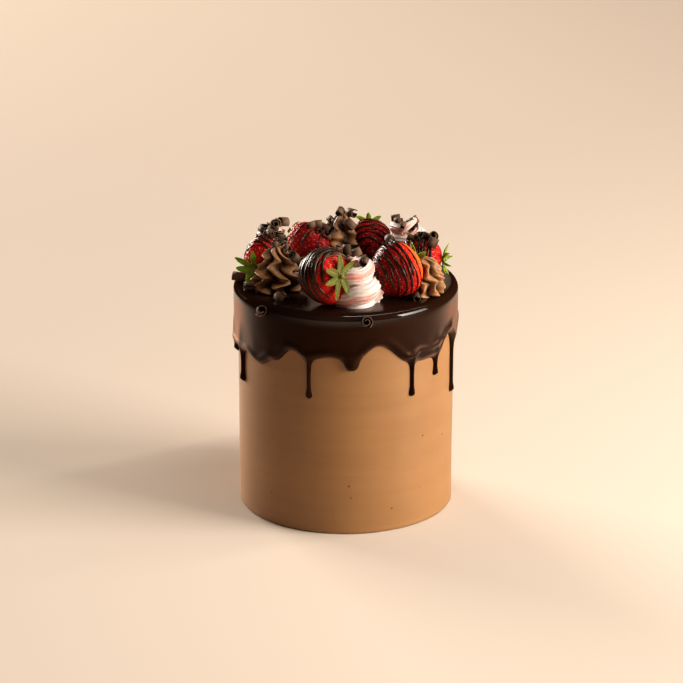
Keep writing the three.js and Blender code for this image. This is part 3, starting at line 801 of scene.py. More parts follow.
def frost_cake():
    """The cake in its buttercream: a scraped, slightly uneven wall with rounded edges."""
    wall = np.linspace(CAKE_FOOT, CAKE_HEIGHT - CAKE_EDGE, round(CAKE_HEIGHT / CAKE_ROW))
    foot = [(CAKE_RADIUS - CAKE_FOOT, 0.0)]
    top = []
    for bend in np.linspace(0, math.pi / 2, CAKE_EDGE_ROWS + 1)[1:]:
        drawn_in = CAKE_EDGE * (1 - math.cos(bend))
        below_top = CAKE_EDGE * (1 - math.sin(bend))
        top.append((CAKE_RADIUS - drawn_in, CAKE_HEIGHT - below_top))
    profile = np.array(foot + [(CAKE_RADIUS, z) for z in wall] + top)
    azimuths = np.arange(CAKE_COLUMNS) * 360 / CAKE_COLUMNS
    reach = np.repeat(profile[:, :1], CAKE_COLUMNS, axis=1)
    height = np.repeat(profile[:, 1:], CAKE_COLUMNS, axis=1)
    flat = np.stack(around(azimuths[None, :], reach, height), axis=-1).reshape(-1, 3)
    depth, size = CAKE_UNEVEN
    uneven = depth * ripple(flat, size, 1)
    depth, size = SCRAPER_MARKS
    marks = depth * ripple(flat * np.array(SCRAPER_STRETCH), size, 2)
    push = (uneven + marks).reshape(reach.shape) * ease(height, 0, CAKE_EVEN_FOOT)
    points = np.stack(around(azimuths[None, :], reach + push, height), axis=-1)
    mesh = make_mesh("frosting", *lathe(points, len(profile), CAKE_COLUMNS), BUTTERCREAM)
    add_piece("frosting", mesh, ["frosted_cake"])


# Ganache


def turn_from(azimuth, place):
    """The shorter turn from a place to an azimuth, in degrees."""
    return (azimuth - place + 180) % 360 - 180


def arc_from(azimuth, place):
    """The shorter way round the wall from a place to an azimuth, in millimetres."""
    return turn_from(azimuth, place) * math.pi / 180 * CAKE_RADIUS


def hem_height(azimuth):
    """Height of the ganache's lower edge, eased from point to point."""
    places = np.array([place for place, _ in HEM] + [HEM[0][0] + 360.0])
    heights = np.array([height for _, height in HEM] + [HEM[0][1]], float)
    azimuth = (np.asarray(azimuth) - places[0]) % 360 + places[0]
    before = np.clip(np.searchsorted(places, azimuth, side="right") - 1, 0, len(places) - 2)
    share = (azimuth - places[before]) / (places[before + 1] - places[before])
    return heights[before] + (heights[before + 1] - heights[before]) * (1 - np.cos(math.pi * share)) / 2


def joined(first, second, fillet):
    """The larger of two depths, with a fillet where they meet."""
    near = np.maximum(fillet - np.abs(first - second), 0) / fillet
    return np.maximum(first, second) + near * near * fillet / 4


def drip_depth(azimuth, height, drip):
    """How far a spot lies inside a drip: a narrow neck over a round bead."""
    place, tip, half = drip
    bead = half * DRIP_BEAD
    root = hem_height(place) + DRIP_ROOT
    level = np.clip(height, tip + bead, root)
    more, length = DRIP_SWELL
    swollen = more * np.exp(-(((level - tip - bead) / (length * half)) ** 2))
    more, length = DRIP_FLARE
    flared = more * ease(level, root - length, root)
    return half * (DRIP_NECK + swollen + flared) - np.hypot(arc_from(azimuth, place), height - level)


def ganache_depth(azimuth, height):
    """How far inside the ganache's edge a spot on the wall lies, in millimetres."""
    step = 0.5
    run = 2 * step * math.pi / 180 * CAKE_RADIUS
    slope = (hem_height(azimuth + step) - hem_height(azimuth - step)) / run
    depth = (height - hem_height(azimuth)) / np.sqrt(1 + slope * slope)
    for drip in DRIPS:
        depth = joined(depth, drip_depth(azimuth, height, drip), DRIP_FILLET)
    return depth


def coat(depth):
    """Thickness of the ganache at a depth inside its edge: rounded, and tucked in just outside it."""
    share = np.clip(depth / ROUNDED_EDGE, 0, 1)
    bead, inside, half = HEM_BEAD
    rounded = GANACHE_COAT * np.sqrt(1 - (1 - share) ** 2)
    proud = rounded + bead * np.exp(-(((depth - inside) / half) ** 2))
    return np.where(depth > 0, proud, np.maximum(depth, -TUCKED_IN))


def ganache_columns():
    """Azimuths of the columns: close together over the drips, wider between them."""
    wide = [place % 360 for place in np.arange(0, 360, COLUMN_STEP)]
    azimuths = [a for a in wide if all(abs(turn_from(a, drip[0])) > DRIP_SPAN for drip in DRIPS)]
    for place, _, _ in DRIPS:
        azimuths += [a % 360 for a in np.arange(place - DRIP_SPAN, place + DRIP_SPAN, DRIP_COLUMN_STEP)]
    azimuths = np.sort(np.array(azimuths))
    gaps = np.diff(azimuths, prepend=azimuths[-1] - 360)
    return azimuths[gaps > DRIP_COLUMN_STEP / 2]


def ganache_shoulder():
    """Reach and height along the ganache's edge: a tight rim, then a wide bend down to the wall."""
    rim, turned = GANACHE_RIM
    rim_angles = np.linspace(0, turned, GANACHE_RIM_ROWS)
    shoulder_angles = np.linspace(turned, 90, GANACHE_SHOULDER_ROWS + 1)[1:]
    angles = np.radians(np.concatenate([rim_angles, shoulder_angles]))
    reach, height, spots = 0.0, GANACHE_TOP, []
    for index, after in enumerate(angles):
        before = angles[max(index - 1, 0)]
        radius = rim if index < GANACHE_RIM_ROWS else GANACHE_SHOULDER
        reach += radius * (math.sin(after) - math.sin(before))
        height -= radius * (math.cos(before) - math.cos(after))
        spots.append((reach, height))
    start = CAKE_RADIUS + GANACHE_COAT - reach
    return [(start + out, level) for out, level in spots]


def ganache_flow(azimuth, height):
    """How much the coat swells above its drips and where it ran down unevenly."""
    wall = np.stack(around(azimuth, CAKE_RADIUS, height), axis=-1) * np.array(FLOW_STRETCH)
    swell = ripple(wall, FLOW_SIZE, 5)
    more, wider = FLOW_OVER_DRIP
    for place, _, half in DRIPS:
        swell = swell + more * np.exp(-((arc_from(azimuth, place) / (wider * half)) ** 2))
    below = ease(GANACHE_TOP - height, *FLOW_BELOW_TOP)
    return GANACHE_FLOW * swell * below + ganache_fold(azimuth, height)


def ganache_fold(azimuth, height):
    """How proud the ridge stands where a second run of ganache stopped."""
    places, heights = zip(*FOLD)
    first, last = places[0], places[-1]
    above = height - np.interp(azimuth, places, heights)
    begun = ease(azimuth, first - FOLD_FADE, first + FOLD_FADE)
    ended = ease(azimuth, last - FOLD_FADE, last + FOLD_FADE)
    return FOLD_PROUD * begun * (1 - ended) * np.exp(-((above / FOLD_HALF) ** 2))


def ganache_rows():
    """Reach and height of the ganache's rings, from its middle out. Those on the wall have no reach yet."""
    shoulder = ganache_shoulder()
    top = [(reach, GANACHE_TOP) for reach in np.linspace(FIRST_RING, shoulder[0][0], TOP_RINGS + 1)[:-1]]
    upper = np.arange(shoulder[-1][1] - WALL_ROW, HEM_ROWS_FROM, -WALL_ROW)
    lower = np.arange(HEM_ROWS_FROM, LOWEST_ROW, -HEM_ROW)
    return top + shoulder + [(None, height) for height in np.concatenate([upper, lower])]


def ganache_ring(azimuths, reach, heights):
    """Reach of the ganache round one ring, and how far inside its edge each spot lies."""
    if reach is not None:
        return np.full(len(azimuths), float(reach)), np.full(len(azimuths), ROUNDED_EDGE)
    depth = ganache_depth(azimuths, heights)
    swell = ganache_flow(azimuths, heights) * ease(depth, *FLOW_INSIDE_EDGE)
    return CAKE_RADIUS + coat(depth) + swell, depth


def ganache_looks(points):
    """How far each point has run down the side, hangs below the hem and lies out on the rim."""
    azimuths = np.degrees(np.arctan2(points[:, 0], -points[:, 1]))
    rim = ganache_shoulder()[0][0]
    return {
        "run_down": ease(GANACHE_TOP - points[:, 2], *RUN_DOWN),
        "hang": ease(hem_height(azimuths) - points[:, 2], *HANGING),
        "rim": ease(np.hypot(points[:, 0], points[:, 1]), rim - GLOSSY_RIM, rim),
    }


def pour_ganache():
    """The ganache: a level top, a rounded shoulder, and a coat that ends in its hem and drips."""
    azimuths = ganache_columns()
    outer, inner, depths = [], [], []
    for reach, height in ganache_rows():
        heights = np.full(len(azimuths), float(height))
        out, depth = ganache_ring(azimuths, reach, heights)
        back = np.minimum(out, GANACHE_BACK)
        under = np.minimum(heights, GANACHE_UNDERSIDE)
        outer.append(np.stack(around(azimuths, out, heights), axis=-1))
        inner.append(np.stack(around(azimuths, back, under), axis=-1))
        depths.append(depth)
    outer = np.array(outer)
    wave, size = TOP_WAVES
    waves = ripple(outer.reshape(-1, 3), size, 3).reshape(outer.shape[:2])
    outer[..., 2] += wave * waves * (outer[..., 2] > GANACHE_TOP - WAVES_END)
    centres = [(0, 0, GANACHE_TOP), (0, 0, GANACHE_UNDERSIDE)]
    points = np.vstack([outer.reshape(-1, 3), np.array(inner).reshape(-1, 3), centres])
    faces = ganache_faces(np.array(depths), len(azimuths))
    mesh = trimmed_mesh("ganache_cap", points, faces, GANACHE, ganache_looks(points))
    add_piece("ganache_cap", mesh, ["ganache"])


def ganache_faces(depths, columns):
    """Faces of the coat, its back, and the narrow wall round its edge."""
    rows = len(depths)
    back = rows * columns
    centre = 2 * back
    sheet = []
    for row in range(rows - 1):
        low = row * columns
        high = low + columns
        for column in range(columns):
            after = (column + 1) % columns
            if depths[row : row + 2, [column, after]].max() > -TUCKED_IN:
                sheet.append((low + after, low + column, high + column, high + after))
    sheet += cap_faces(centre, 0, columns, False)
    return shell_faces(sheet, lambda point: centre + 1 if point == centre else point + back)


def trimmed_mesh(name, points, faces, material, attributes):
    """A mesh of the points that its faces use."""
    used = np.unique(np.concatenate([np.array(face) for face in faces]))
    order = np.full(len(points), -1)
    order[used] = np.arange(len(used))
    kept = {label: values[used] for label, values in attributes.items()}
    faces = [tuple(order[list(face)].tolist()) for face in faces]
    return make_mesh(name, points[used], faces, material, kept)


# Strawberries


def berry_outline(share):
    """Half width of a strawberry at a share of its length, as a share of its greatest."""
    widest = BERRY_SHOULDER / (BERRY_SHOULDER + BERRY_TAPER)
    most = widest**BERRY_SHOULDER * (1 - widest) ** BERRY_TAPER
    return share**BERRY_SHOULDER * (1 - share) ** BERRY_TAPER / most


def berry_points(berry, share, angle):
    """Points of the smooth strawberry, with its leaves at the origin and its tip along z."""
    number = BERRIES.index(berry)
    two_sided, three_sided = BERRY_GIRTH
    lumps = 1 + two_sided * np.cos(2 * angle + number)
    lumps = lumps + three_sided * np.cos(3 * angle + 2.4 * number + 3 * share)
    reach = berry["width"] / 2 * berry_outline(share) * lumps
    return np.stack([reach * np.cos(angle), reach * np.sin(angle), share * berry["length"]], axis=-1)


def berry_normal(berry, share, angle):
    """The way out of the smooth strawberry at a spot."""
    step = 1e-3
    along = berry_points(berry, share + step, angle) - berry_points(berry, share - step, angle)
    round_it = berry_points(berry, share, angle + step) - berry_points(berry, share, angle - step)
    return unit(np.cross(round_it, along))


def berry_seat(berry):
    """The turn and the place of a strawberry lying on the ganache."""
    samples = 60
    turn = turned_to(berry["tip"])
    share, angle = np.meshgrid(np.linspace(0, 1, samples), np.linspace(0, 2 * math.pi, samples))
    body = berry_points(berry, share, angle).reshape(-1, 3) - (0, 0, berry["length"] / 2)
    lowest = (body @ turn.T)[:, 2].min()
    middle = around(berry["azimuth"], berry["ring"], GANACHE_TOP + REST_GAP + berry["lift"] - lowest)
    return turn, middle - turn @ np.array([0, 0, berry["length"] / 2])


def seed_spots(berry):
    """Shares and angles of the seeds, spread evenly over the skin by the golden angle."""
    samples = 400
    shares = np.linspace(*SEED_BAND, samples)
    reach = berry["width"] / 2 * berry_outline(shares)
    strip = 2 * math.pi * reach * np.hypot(np.gradient(reach), np.gradient(shares * berry["length"]))
    area = np.cumsum(strip)
    count = int(area[-1] / SEED_AREA)
    numbers = np.arange(count)
    return np.interp((numbers + 0.5) / count * area[-1], area, shares), np.radians(numbers * SEED_TURN)


def dimpled_skin(berry, number, seeds):
    """Points and faces of a strawberry dimpled at each seed, and each point's share of its length."""
    tree = KDTree(len(seeds))
    for index, seed in enumerate(seeds):
        tree.insert(Vector(seed), index)
    tree.balance()
    rows = (1 - np.cos(np.linspace(0, math.pi, BERRY_ROWS + 2)[1:-1])) / 2
    round_it = np.arange(BERRY_COLUMNS) * 2 * math.pi / BERRY_COLUMNS
    share, angle = np.meshgrid(rows, round_it, indexing="ij")
    skin = berry_points(berry, share, angle)
    flat = skin.reshape(-1, 3)
    near = np.array([tree.find(Vector(p))[2] for p in flat])
    inward = np.array([0, 0, berry["length"] * BERRY_CORE]) - flat
    inward /= np.linalg.norm(inward, axis=1, keepdims=True)
    dimple = DIMPLE_DEPTH * np.exp(-((near / DIMPLE_RADIUS) ** 2))
    depth, size = BERRY_LUMPS
    lumps = depth * ripple(flat, size, 20 + number)
    flat = flat + inward * dimple[:, None] + inward * lumps[:, None]
    points, faces = lathe(flat.reshape(skin.shape), BERRY_ROWS, BERRY_COLUMNS)
    poles = np.array([0.0, 1.0])
    return points, faces, np.concatenate([share.ravel(), poles])


def ripeness(berry, number, points, share):
    """How ripe a strawberry is at each point: pale by its leaves, redder toward its tip; on the right_front
    strawberry that pale shoulder is partly painted light.
    """
    strength, size = RIPE_PATCHES
    ripe = RIPE_START + RIPE_GAIN * ease(share, 0, 0.5) + RIPE_STEP * (number % 3)
    ripe += strength * ripple(points, size, 40 + number)
    pale, reach = PALE_SHOULDER_AND_PAINTED_LIGHT[berry["side"]]
    return ripe - pale * (1 - ease(share, PALE_START, reach))


def grow_berry(berry, number):
    """A strawberry's flesh, with the places and turns of its seeds."""
    turn, place = berry_seat(berry)
    shares, angles = seed_spots(berry)
    seeds = berry_points(berry, shares, angles)
    points, faces, share = dimpled_skin(berry, number, seeds)
    looks = {"ripe": ripeness(berry, number, points, share)}
    mesh = make_mesh("flesh", points @ turn.T + place, faces, STRAWBERRY, looks)
    name = "strawberry_" + berry["side"]
    piece = add_piece(name + "_flesh", mesh, [name])
    ways = [berry_normal(berry, s, a) for s, a in zip(shares, angles)]
    spots = [(p - SEED_SINK * w) @ turn.T + place for p, w in zip(seeds, ways)]
    along = turn @ np.array([0, 0, 1])
    return piece, spots, [seed_turn(turn @ way, along) for way in ways]


def seed_turn(out, along):
    """A turn that lays a seed's z out of the skin and its y toward the tip."""
    x = unit(np.cross(along, out))
    return np.column_stack([x, np.cross(out, x), out])


def seed_tree(sizes):
    """Geometry Nodes: one small seed at each point."""
    tree, given = new_tree("strawberry_seeds", sizes)
    ball = result(tree, "GeometryNodeMeshIcoSphere", {"Radius": 1.0, "Subdivisions": 2})
    half = given.outputs
    values = {0: half["Half Width"], 1: half["Half Length"], 2: half["Half Height"]}
    scale = result(tree, "ShaderNodeCombineXYZ", values)
    seed = result(tree, "GeometryNodeTransform", {"Geometry": ball, "Scale": scale})
    values = {"Points": given.outputs["Geometry"], "Instance": seed}
    values["Rotation"] = named(tree, "turn", "QUATERNION")
    values["Scale"] = named(tree, "size", "FLOAT_VECTOR")
    close_tree(tree, result(tree, "GeometryNodeInstanceOnPoints", values), SEED)
    return tree


def set_strawberries():
    """All strawberries, and the seeds of all of them as one piece."""
    pieces, spots, turns = [], [], []
    for number, berry in enumerate(BERRIES):
        piece, berry_spots, berry_turns = grow_berry(berry, number)
        pieces.append(piece)
        spots += berry_spots
        turns += berry_turns
    scales = [spread(SEED_SCATTER, number, GOLDEN_SHARE) for number in range(len(spots))]
    half_width, half_length, half_height = (half * MM for half in SEED_SIZE)
    sizes = {"Half Width": half_width, "Half Length": half_length, "Half Height": half_height}
    start = point_mesh("seed_spots", spots, turns, scales)
    add_piece("strawberry_seeds", grow("strawberry_seeds", seed_tree(sizes), sizes, start))
    return pieces


# Chocolate lines on the strawberries


def drizzle_lines(berry):
    """Paths of the chocolate lines over a strawberry, slanted across its upper side."""
    count, first, last, half = DRIZZLE[berry["side"]]
    turn, place = berry_seat(berry)
    number = BERRIES.index(berry)
    lines = []
    for line in range(count):
        middle = first + (last - first) * (line + 0.5) / count
        stroke = 1 if line % 2 else DRIZZLE_BACK_STROKE
        slant = DRIZZLE_SLANT * stroke * (1 if number % 2 else -1)
        shorter = 1 - DRIZZLE_UNEVEN + DRIZZLE_UNEVEN * math.sin(3.1 * line + number)
        reach = DRIZZLE_REACH[berry["side"]] * shorter
        angle = np.radians(np.linspace(-reach, reach, DRIZZLE_STEPS))
        wobble = DRIZZLE_WOBBLE * np.sin(3 * angle + 1.7 * line)
        share = np.clip(middle + (slant * np.sin(angle) + wobble) / berry["length"], *DRIZZLE_BAND)
        ways = np.array([berry_normal(berry, s, a) for s, a in zip(share, angle)])
        thick = half * spread(DRIZZLE_THICK, line + 5 * number, GOLDEN_SHARE)
        path = berry_points(berry, share, angle) - DRIZZLE_SUNK * thick * ways
        swell = thick * (1 + DRIZZLE_SWELL * np.sin(5 * angle + 2.3 * line))
        swell = swell * (1 - DRIZZLE_FADE * np.abs(angle / angle[-1]) ** 6)
        lines.append((path @ turn.T + place, swell))
    return lines


def drizzle_tree(sizes):
    """Geometry Nodes: a round bead of chocolate along each path."""
    tree, given = new_tree("drizzled_lines", sizes)
    curves = result(tree, "GeometryNodeMeshToCurve", {"Mesh": given.outputs["Geometry"]})
    values = {"Resolution": given.outputs["Sides"], "Radius": 1.0}
    circle = result(tree, "GeometryNodeCurvePrimitiveCircle", values)
    thick = named(tree, "thick", "FLOAT")
    values = {"Curve": curves, "Profile Curve": circle, "Scale": thick, "Fill Caps": True}
    close_tree(tree, result(tree, "GeometryNodeCurveToMesh", values), DRIZZLED)
    return tree


def drizzle_strawberries():
    """The chocolate lines of all strawberries as one piece."""
    points, edges, thick = [], [], []
    for berry in BERRIES:
        for path, swell in drizzle_lines(berry):
            start = len(points)
            points += (path * MM).tolist()
            thick += (swell * MM).tolist()
            edges += [(start + step, start + step + 1) for step in range(len(path) - 1)]
    paths = bpy.data.meshes.new("drizzle_paths")
    paths.from_pydata(points, edges, [])
    layer = paths.attributes.new("thick", "FLOAT", "POINT")
    layer.data.foreach_set("value", np.array(thick, np.float32))
    sizes = {"Sides": DRIZZLE_SIDES}
    mesh = grow("strawberry_drizzle", drizzle_tree(sizes), sizes, paths)
    add_piece("strawberry_drizzle", mesh)


# Leaves


def sepal_width(along):
    """Half width of a sepal along its length, as a share of its greatest."""
    scale, start, widens, narrows = SEPAL_OUTLINE
    return scale * (along + start) ** widens * np.maximum(1 - along, 0) ** narrows


def hug_height(berry, reach):
    """Height along a strawberry at which its shoulder has a reach."""
    widest, samples = 0.38, 200
    shares = np.linspace(0, widest, samples)
    return np.interp(reach, berry["width"] / 2 * berry_outline(shares), shares * berry["length"])


def sepal_points(berry, number, along, across):
    """Points of a sepal's under side and then its upper side, from how far along and across they lie."""
    pose = LEAVES[berry["side"]]
    order = number + SEPALS * BERRIES.index(berry)
    length = pose["size"] * spread(SEPAL_LENGTH, order, GOLDEN_SHARE)
    half = pose["size"] * SEPAL_WIDTH / 2 * spread(SEPAL_WIDER, order, 0.37)
    curl = pose["curl"] * spread(SEPAL_CURL, order, 0.73)
    sway = SEPAL_SWAY * math.sin(2.7 * order)
    out = CALYX_HUB / 2 + along * length
    aside = across * half * sepal_width(along) + sway * length * along**2
    lift = pose["hug"] * hug_height(berry, np.hypot(out, aside)) - curl * along**2.2
    cup = SEPAL_CUP * across**2 * sepal_width(along) + SEPAL_RIPPLE * np.sin(7 * along + order) * across
    turn = 2 * math.pi * (number + SEPAL_UNEVEN * math.sin(1.9 * order)) / SEPALS
    x = out * math.cos(turn) - aside * math.sin(turn)
    y = out * math.sin(turn) + aside * math.cos(turn)
    z = lift - cup - SEPAL_RAISED - SEPAL_LAYER * (number % 2)
    under = np.stack([x, y, z], axis=-1)
    over = np.stack([x, y, z - SEPAL_THICK * (1 - SEPAL_THINNING * along**2)], axis=-1)
    return np.vstack([under.reshape(-1, 3), over.reshape(-1, 3)])


def sepal(berry, number):
    """Points of one sepal, its faces, and how far across and along each point lies."""
    rows = SEPAL_ROWS
    columns = 2 * SEPAL_HALF + 1
    along, across = np.meshgrid(np.linspace(0, 1, rows), np.linspace(-1, 1, columns), indexing="ij")
    sheet = [
        (r * columns + c, r * columns + c + 1, (r + 1) * columns + c + 1, (r + 1) * columns + c)
        for r in range(rows - 1)
        for c in range(columns - 1)
    ]
    faces = shell_faces(sheet, lambda point: point + rows * columns)
    points = sepal_points(berry, number, along, across)
    return points, faces, np.tile(np.abs(across).ravel(), 2), np.tile(along.ravel(), 2)


def stem_stub():
    """Points and faces of the short stem and the hub that the sepals grow from."""
    profile = [
        (CALYX_HUB, -0.2), (CALYX_HUB * 1.05, -0.9), (CALYX_HUB * 0.8, -1.6),
        (STEM_RADIUS * 1.15, -1.9), (STEM_RADIUS, -STEM_LENGTH * 0.7), (STEM_RADIUS * 1.1, -STEM_LENGTH),
        (STEM_RADIUS * 0.6, -STEM_LENGTH - 0.2),
    ]
    angle = -np.arange(STEM_COLUMNS) * 2 * math.pi / STEM_COLUMNS
    rings = []
    for reach, height in profile:
        level = np.full(STEM_COLUMNS, height)
        rings.append(np.stack([reach * np.cos(angle), reach * np.sin(angle), level], axis=-1))
    return lathe(np.array(rings), len(profile), STEM_COLUMNS)


def leaf_strawberry(berry):
    """A strawberry's calyx: a ring of sepals round a short stem."""
    turn, place = berry_seat(berry)
    parts = [sepal(berry, number) for number in range(SEPALS)]
    stem, stem_faces = stem_stub()
    stem_across, stem_along = STEM_LOOK
    parts.append((stem, stem_faces, np.full(len(stem), stem_across), np.full(len(stem), stem_along)))
    points, faces, across, along = [], [], [], []
    for part_points, part_faces, part_across, part_along in parts:
        faces += [tuple(p + len(points) for p in face) for face in part_faces]
        points += part_points.tolist()
        across += part_across.tolist()
        along += part_along.tolist()
    points = np.array(points) @ turn.T + place
    points[:, 2] = np.maximum(points[:, 2], GANACHE_TOP + LEAF_GAP)
    pale = LEAVES[berry["side"]]["pale"]
    looks = {"across": across, "along": along, "pale": [pale] * len(points)}
    name = "strawberry_" + berry["side"] + "_calyx"
    mesh = make_mesh(name, points, faces, LEAF, looks)
    add_piece(name + "_leaves", mesh, [name])


# Piped swirls


def swirl_seat(swirl):
    """The turn and the place of a swirl standing on the ganache."""
    foot = around(swirl["azimuth"], swirl["ring"], GANACHE_TOP + REST_GAP - SWIRL_SINK)
    return spin("Z", swirl["azimuth"]), foot


def pipe_chocolate(swirl, number):
    """A ruffled mound of chocolate buttercream: waving lobes that wind up to a leaning peak."""
    level = np.linspace(0, 1, RUFFLE_ROWS)[:, None] ** 0.9
    angle = (np.arange(RUFFLE_COLUMNS) * 2 * math.pi / RUFFLE_COLUMNS)[None, :]
    height = swirl["height"]
    ruffle = RUFFLES[swirl["side"]]
    climb = 2 * math.pi * level * height / RUFFLE_PITCH
    wave = ruffle["wave"] * np.sin(climb + RUFFLE_SWAY * np.sin(2 * angle + number))
    phase = ruffle["count"] * (angle + RUFFLE_TWIST * level) + wave + number
    lobe = (0.5 + 0.5 * np.cos(phase)) ** RUFFLE_ROUND
    drawn_in, ending = RUFFLE_FOOT
    body = swirl["radius"] * (1 - level) ** ruffle["taper"] * (1 - drawn_in * np.exp(-level * ending))
    bead = 1 + RUFFLE_BEAD * np.cos(climb * 2 + phase)
    reach = body * (1 - ruffle["depth"] * (1 - lobe)) * bead + PEAK_RADIUS
    rise = height * level + RUFFLE_RISE * np.sin(phase + 0.6) * np.minimum(1, 6 * level) * (1 - level)
    lean = PEAK_LEAN * level**3
    points = np.stack([reach * np.cos(angle) - lean, reach * np.sin(angle), rise], axis=-1)
    turn, foot = swirl_seat(swirl)
    shape, faces = lathe(points, RUFFLE_ROWS, RUFFLE_COLUMNS)
    # Painted light for the finish: shade in the folds between lobes, highlight on their crests and poles
    painted_crest_light = np.concatenate([lobe.ravel(), POLE_PAINTED_LIGHT]) + ruffle["pale"]
    name = "chocolate_swirl_" + swirl["side"]
    mesh = make_mesh(name, shape @ turn.T + foot, faces, PIPED_CHOCOLATE, {"painted_crest_light": painted_crest_light})
    return add_piece(name + "_ruffles", mesh, [name])


def rope_sizes(swirl, number):
    """Sizes of the rope that a swirl of cream is wound from, by the names of the tree's inputs."""
    star_points, star_depth = CREAM_STAR
    twist, more_twist = CREAM_TWIST
    return {
        "Radius": swirl["radius"] * MM, "Height": swirl["height"] * MM,
        "Rope": CREAM_ROPE * swirl["radius"] * MM, "Turns": CREAM_TURNS, "Taper": CREAM_TAPER,
        "Star Points": star_points, "Star Depth": star_depth, "Twist": twist + more_twist * number,
        "Lean": CREAM_LEAN * MM, "Drift": CREAM_DRIFT * MM, "Seed": 1.7 * number, "Voxel": CREAM_VOXEL * MM,
    }


def cream_tree():
    """Geometry Nodes: a star-shaped rope of cream wound up into a swirl, fused and softened."""
    tree, given = new_tree("piped_cream_swirl", rope_sizes(SWIRLS[0], 0))
    size = given.outputs
    line = result(tree, "GeometryNodeCurvePrimitiveLine", {"End": (0, 0, 1)})
    line = result(tree, "GeometryNodeResampleCurve", {"Curve": line, "Count": ROPE_STEPS})
    wound = node(tree, "GeometryNodeSplineParameter").outputs["Factor"]
    left = maths(tree, "SUBTRACT", 1.0, wound)
    angle = maths(tree, "MULTIPLY", maths(tree, "MULTIPLY", wound, size["Turns"]), 2 * math.pi)
    inner = maths(tree, "SUBTRACT", size["Radius"], size["Rope"])
    reach = maths(tree, "MULTIPLY", inner, maths(tree, "POWER", left, size["Taper"]))
    climb = maths(tree, "MULTIPLY_ADD", size["Rope"], -ROPE_HEAD, size["Height"])
    risen = maths(tree, "MULTIPLY_ADD", wound, 1 + ROPE_LYING, -ROPE_LYING)
    risen = maths(tree, "MAXIMUM", risen, 0.0)
    rise = maths(tree, "MULTIPLY_ADD", size["Rope"], ROPE_FOOT, maths(tree, "MULTIPLY", climb, risen))
    lean = maths(tree, "MULTIPLY", maths(tree, "POWER", wound, 3.0), size["Lean"])
    x = maths(tree, "SUBTRACT", maths(tree, "MULTIPLY", reach, maths(tree, "COSINE", angle)), lean)
    y = maths(tree, "MULTIPLY", reach, maths(tree, "SINE", angle))
    spot = drifted(tree, result(tree, "ShaderNodeCombineXYZ", {0: x, 1: y, 2: rise}), size)
    path = result(tree, "GeometryNodeSetPosition", {"Geometry": line, "Position": spot})
    twist = maths(tree, "MULTIPLY", wound, size["Twist"])
    path = result(tree, "GeometryNodeSetCurveTilt", {"Curve": path, "Tilt": twist})
    rope = piped_rope(tree, path, size, wound, left)
    close_tree(tree, fused_cream(tree, rope, size), PIPED_CREAM)
    return tree


def drifted(tree, spot, size):
    """The path's spots, shifted a little as a hand piping it would."""
    values = {"Vector": spot, "W": size["Seed"], "Scale": DRIFT_SCALE, "Detail": 1.0}
    drift = node(tree, "ShaderNodeTexNoise", values, noise_dimensions="4D").outputs["Color"]
    middle = (0.5, 0.5, 0.5)
    drift = result(tree, "ShaderNodeVectorMath", {0: drift, 1: middle}, operation="SUBTRACT")
    drift = result(tree, "ShaderNodeVectorMath", {0: drift, "Scale": size["Drift"]}, operation="SCALE")
    return result(tree, "ShaderNodeVectorMath", {0: spot, 1: drift}, operation="ADD")


def piped_rope(tree, path, size, wound, left):
    """The star-shaped rope along the path, thinning to its peak, with its pink stripes marked."""
    hollow = maths(tree, "SUBTRACT", 1.0, size["Star Depth"])
    values = {"Points": size["Star Points"], "Inner Radius": hollow, "Outer Radius": 1.0}
    star = result(tree, "GeometryNodeCurveStar", values)
    round_rope = node(tree, "GeometryNodeSplineParameter").outputs["Factor"]
    pink = maths(tree, "COSINE", maths(tree, "MULTIPLY", round_rope, 2 * PINK_STRIPES * math.pi))
    star = stored(tree, star, "pink", maths(tree, "MULTIPLY_ADD", pink, 0.5, 0.5))
    radius, steps = STAR_ROUNDING
    values = {"Curve": star, "Radius": radius, "Count": steps}
    star = result(tree, "GeometryNodeFilletCurve", values, mode="POLY")
    thin = maths(tree, "MULTIPLY_ADD", wound, -ROPE_THINNING, 1.0)
    ending = maths(tree, "MINIMUM", 1.0, maths(tree, "MULTIPLY", left, ROPE_ENDING))
    thick = maths(tree, "MULTIPLY", maths(tree, "MULTIPLY", thin, ending), size["Rope"])
    values = {"Curve": path, "Profile Curve": star, "Scale": thick, "Fill Caps": True}
    return result(tree, "GeometryNodeCurveToMesh", values)


def fused_cream(tree, rope, size):
    """The rope and a core fused into one soft body that keeps the rope's pink stripes."""
    core_radius, core_height = CREAM_CORE
    values = {"Vertices": CORE_SIDES, "Radius Top": 0.0}
    values["Radius Bottom"] = maths(tree, "MULTIPLY", size["Radius"], core_radius)
    values["Depth"] = maths(tree, "MULTIPLY", size["Height"], core_height)
    core = result(tree, "GeometryNodeMeshCone", values)
    both = node(tree, "GeometryNodeJoinGeometry")
    tree.links.new(rope, both.inputs[0])
    tree.links.new(core, both.inputs[0])
    band = maths(tree, "MULTIPLY", size["Voxel"], FUSED_BAND)
    values = {"Mesh": both.outputs[0], "Voxel Size": size["Voxel"], "Interior Band Width": band}
    cloud = result(tree, "GeometryNodeMeshToVolume", values, resolution_mode="VOXEL_SIZE")
    values = {"Volume": cloud, "Voxel Size": size["Voxel"], "Threshold": FUSED_SKIN}
    body = result(tree, "GeometryNodeVolumeToMesh", values, resolution_mode="VOXEL_SIZE")
    spot = result(tree, "GeometryNodeInputPosition")
    values = {"Value": spot, "Iterations": 1}
    soft = result(tree, "GeometryNodeBlurAttribute", values, data_type="FLOAT_VECTOR")
    body = result(tree, "GeometryNodeSetPosition", {"Geometry": body, "Position": soft})
    values = {"Mesh": rope, "Value": named(tree, "pink", "FLOAT"), "Sample Position": spot}
    pink = result(tree, "GeometryNodeSampleNearestSurface", values, data_type="FLOAT")
    return stored(tree, body, "pink", pink)


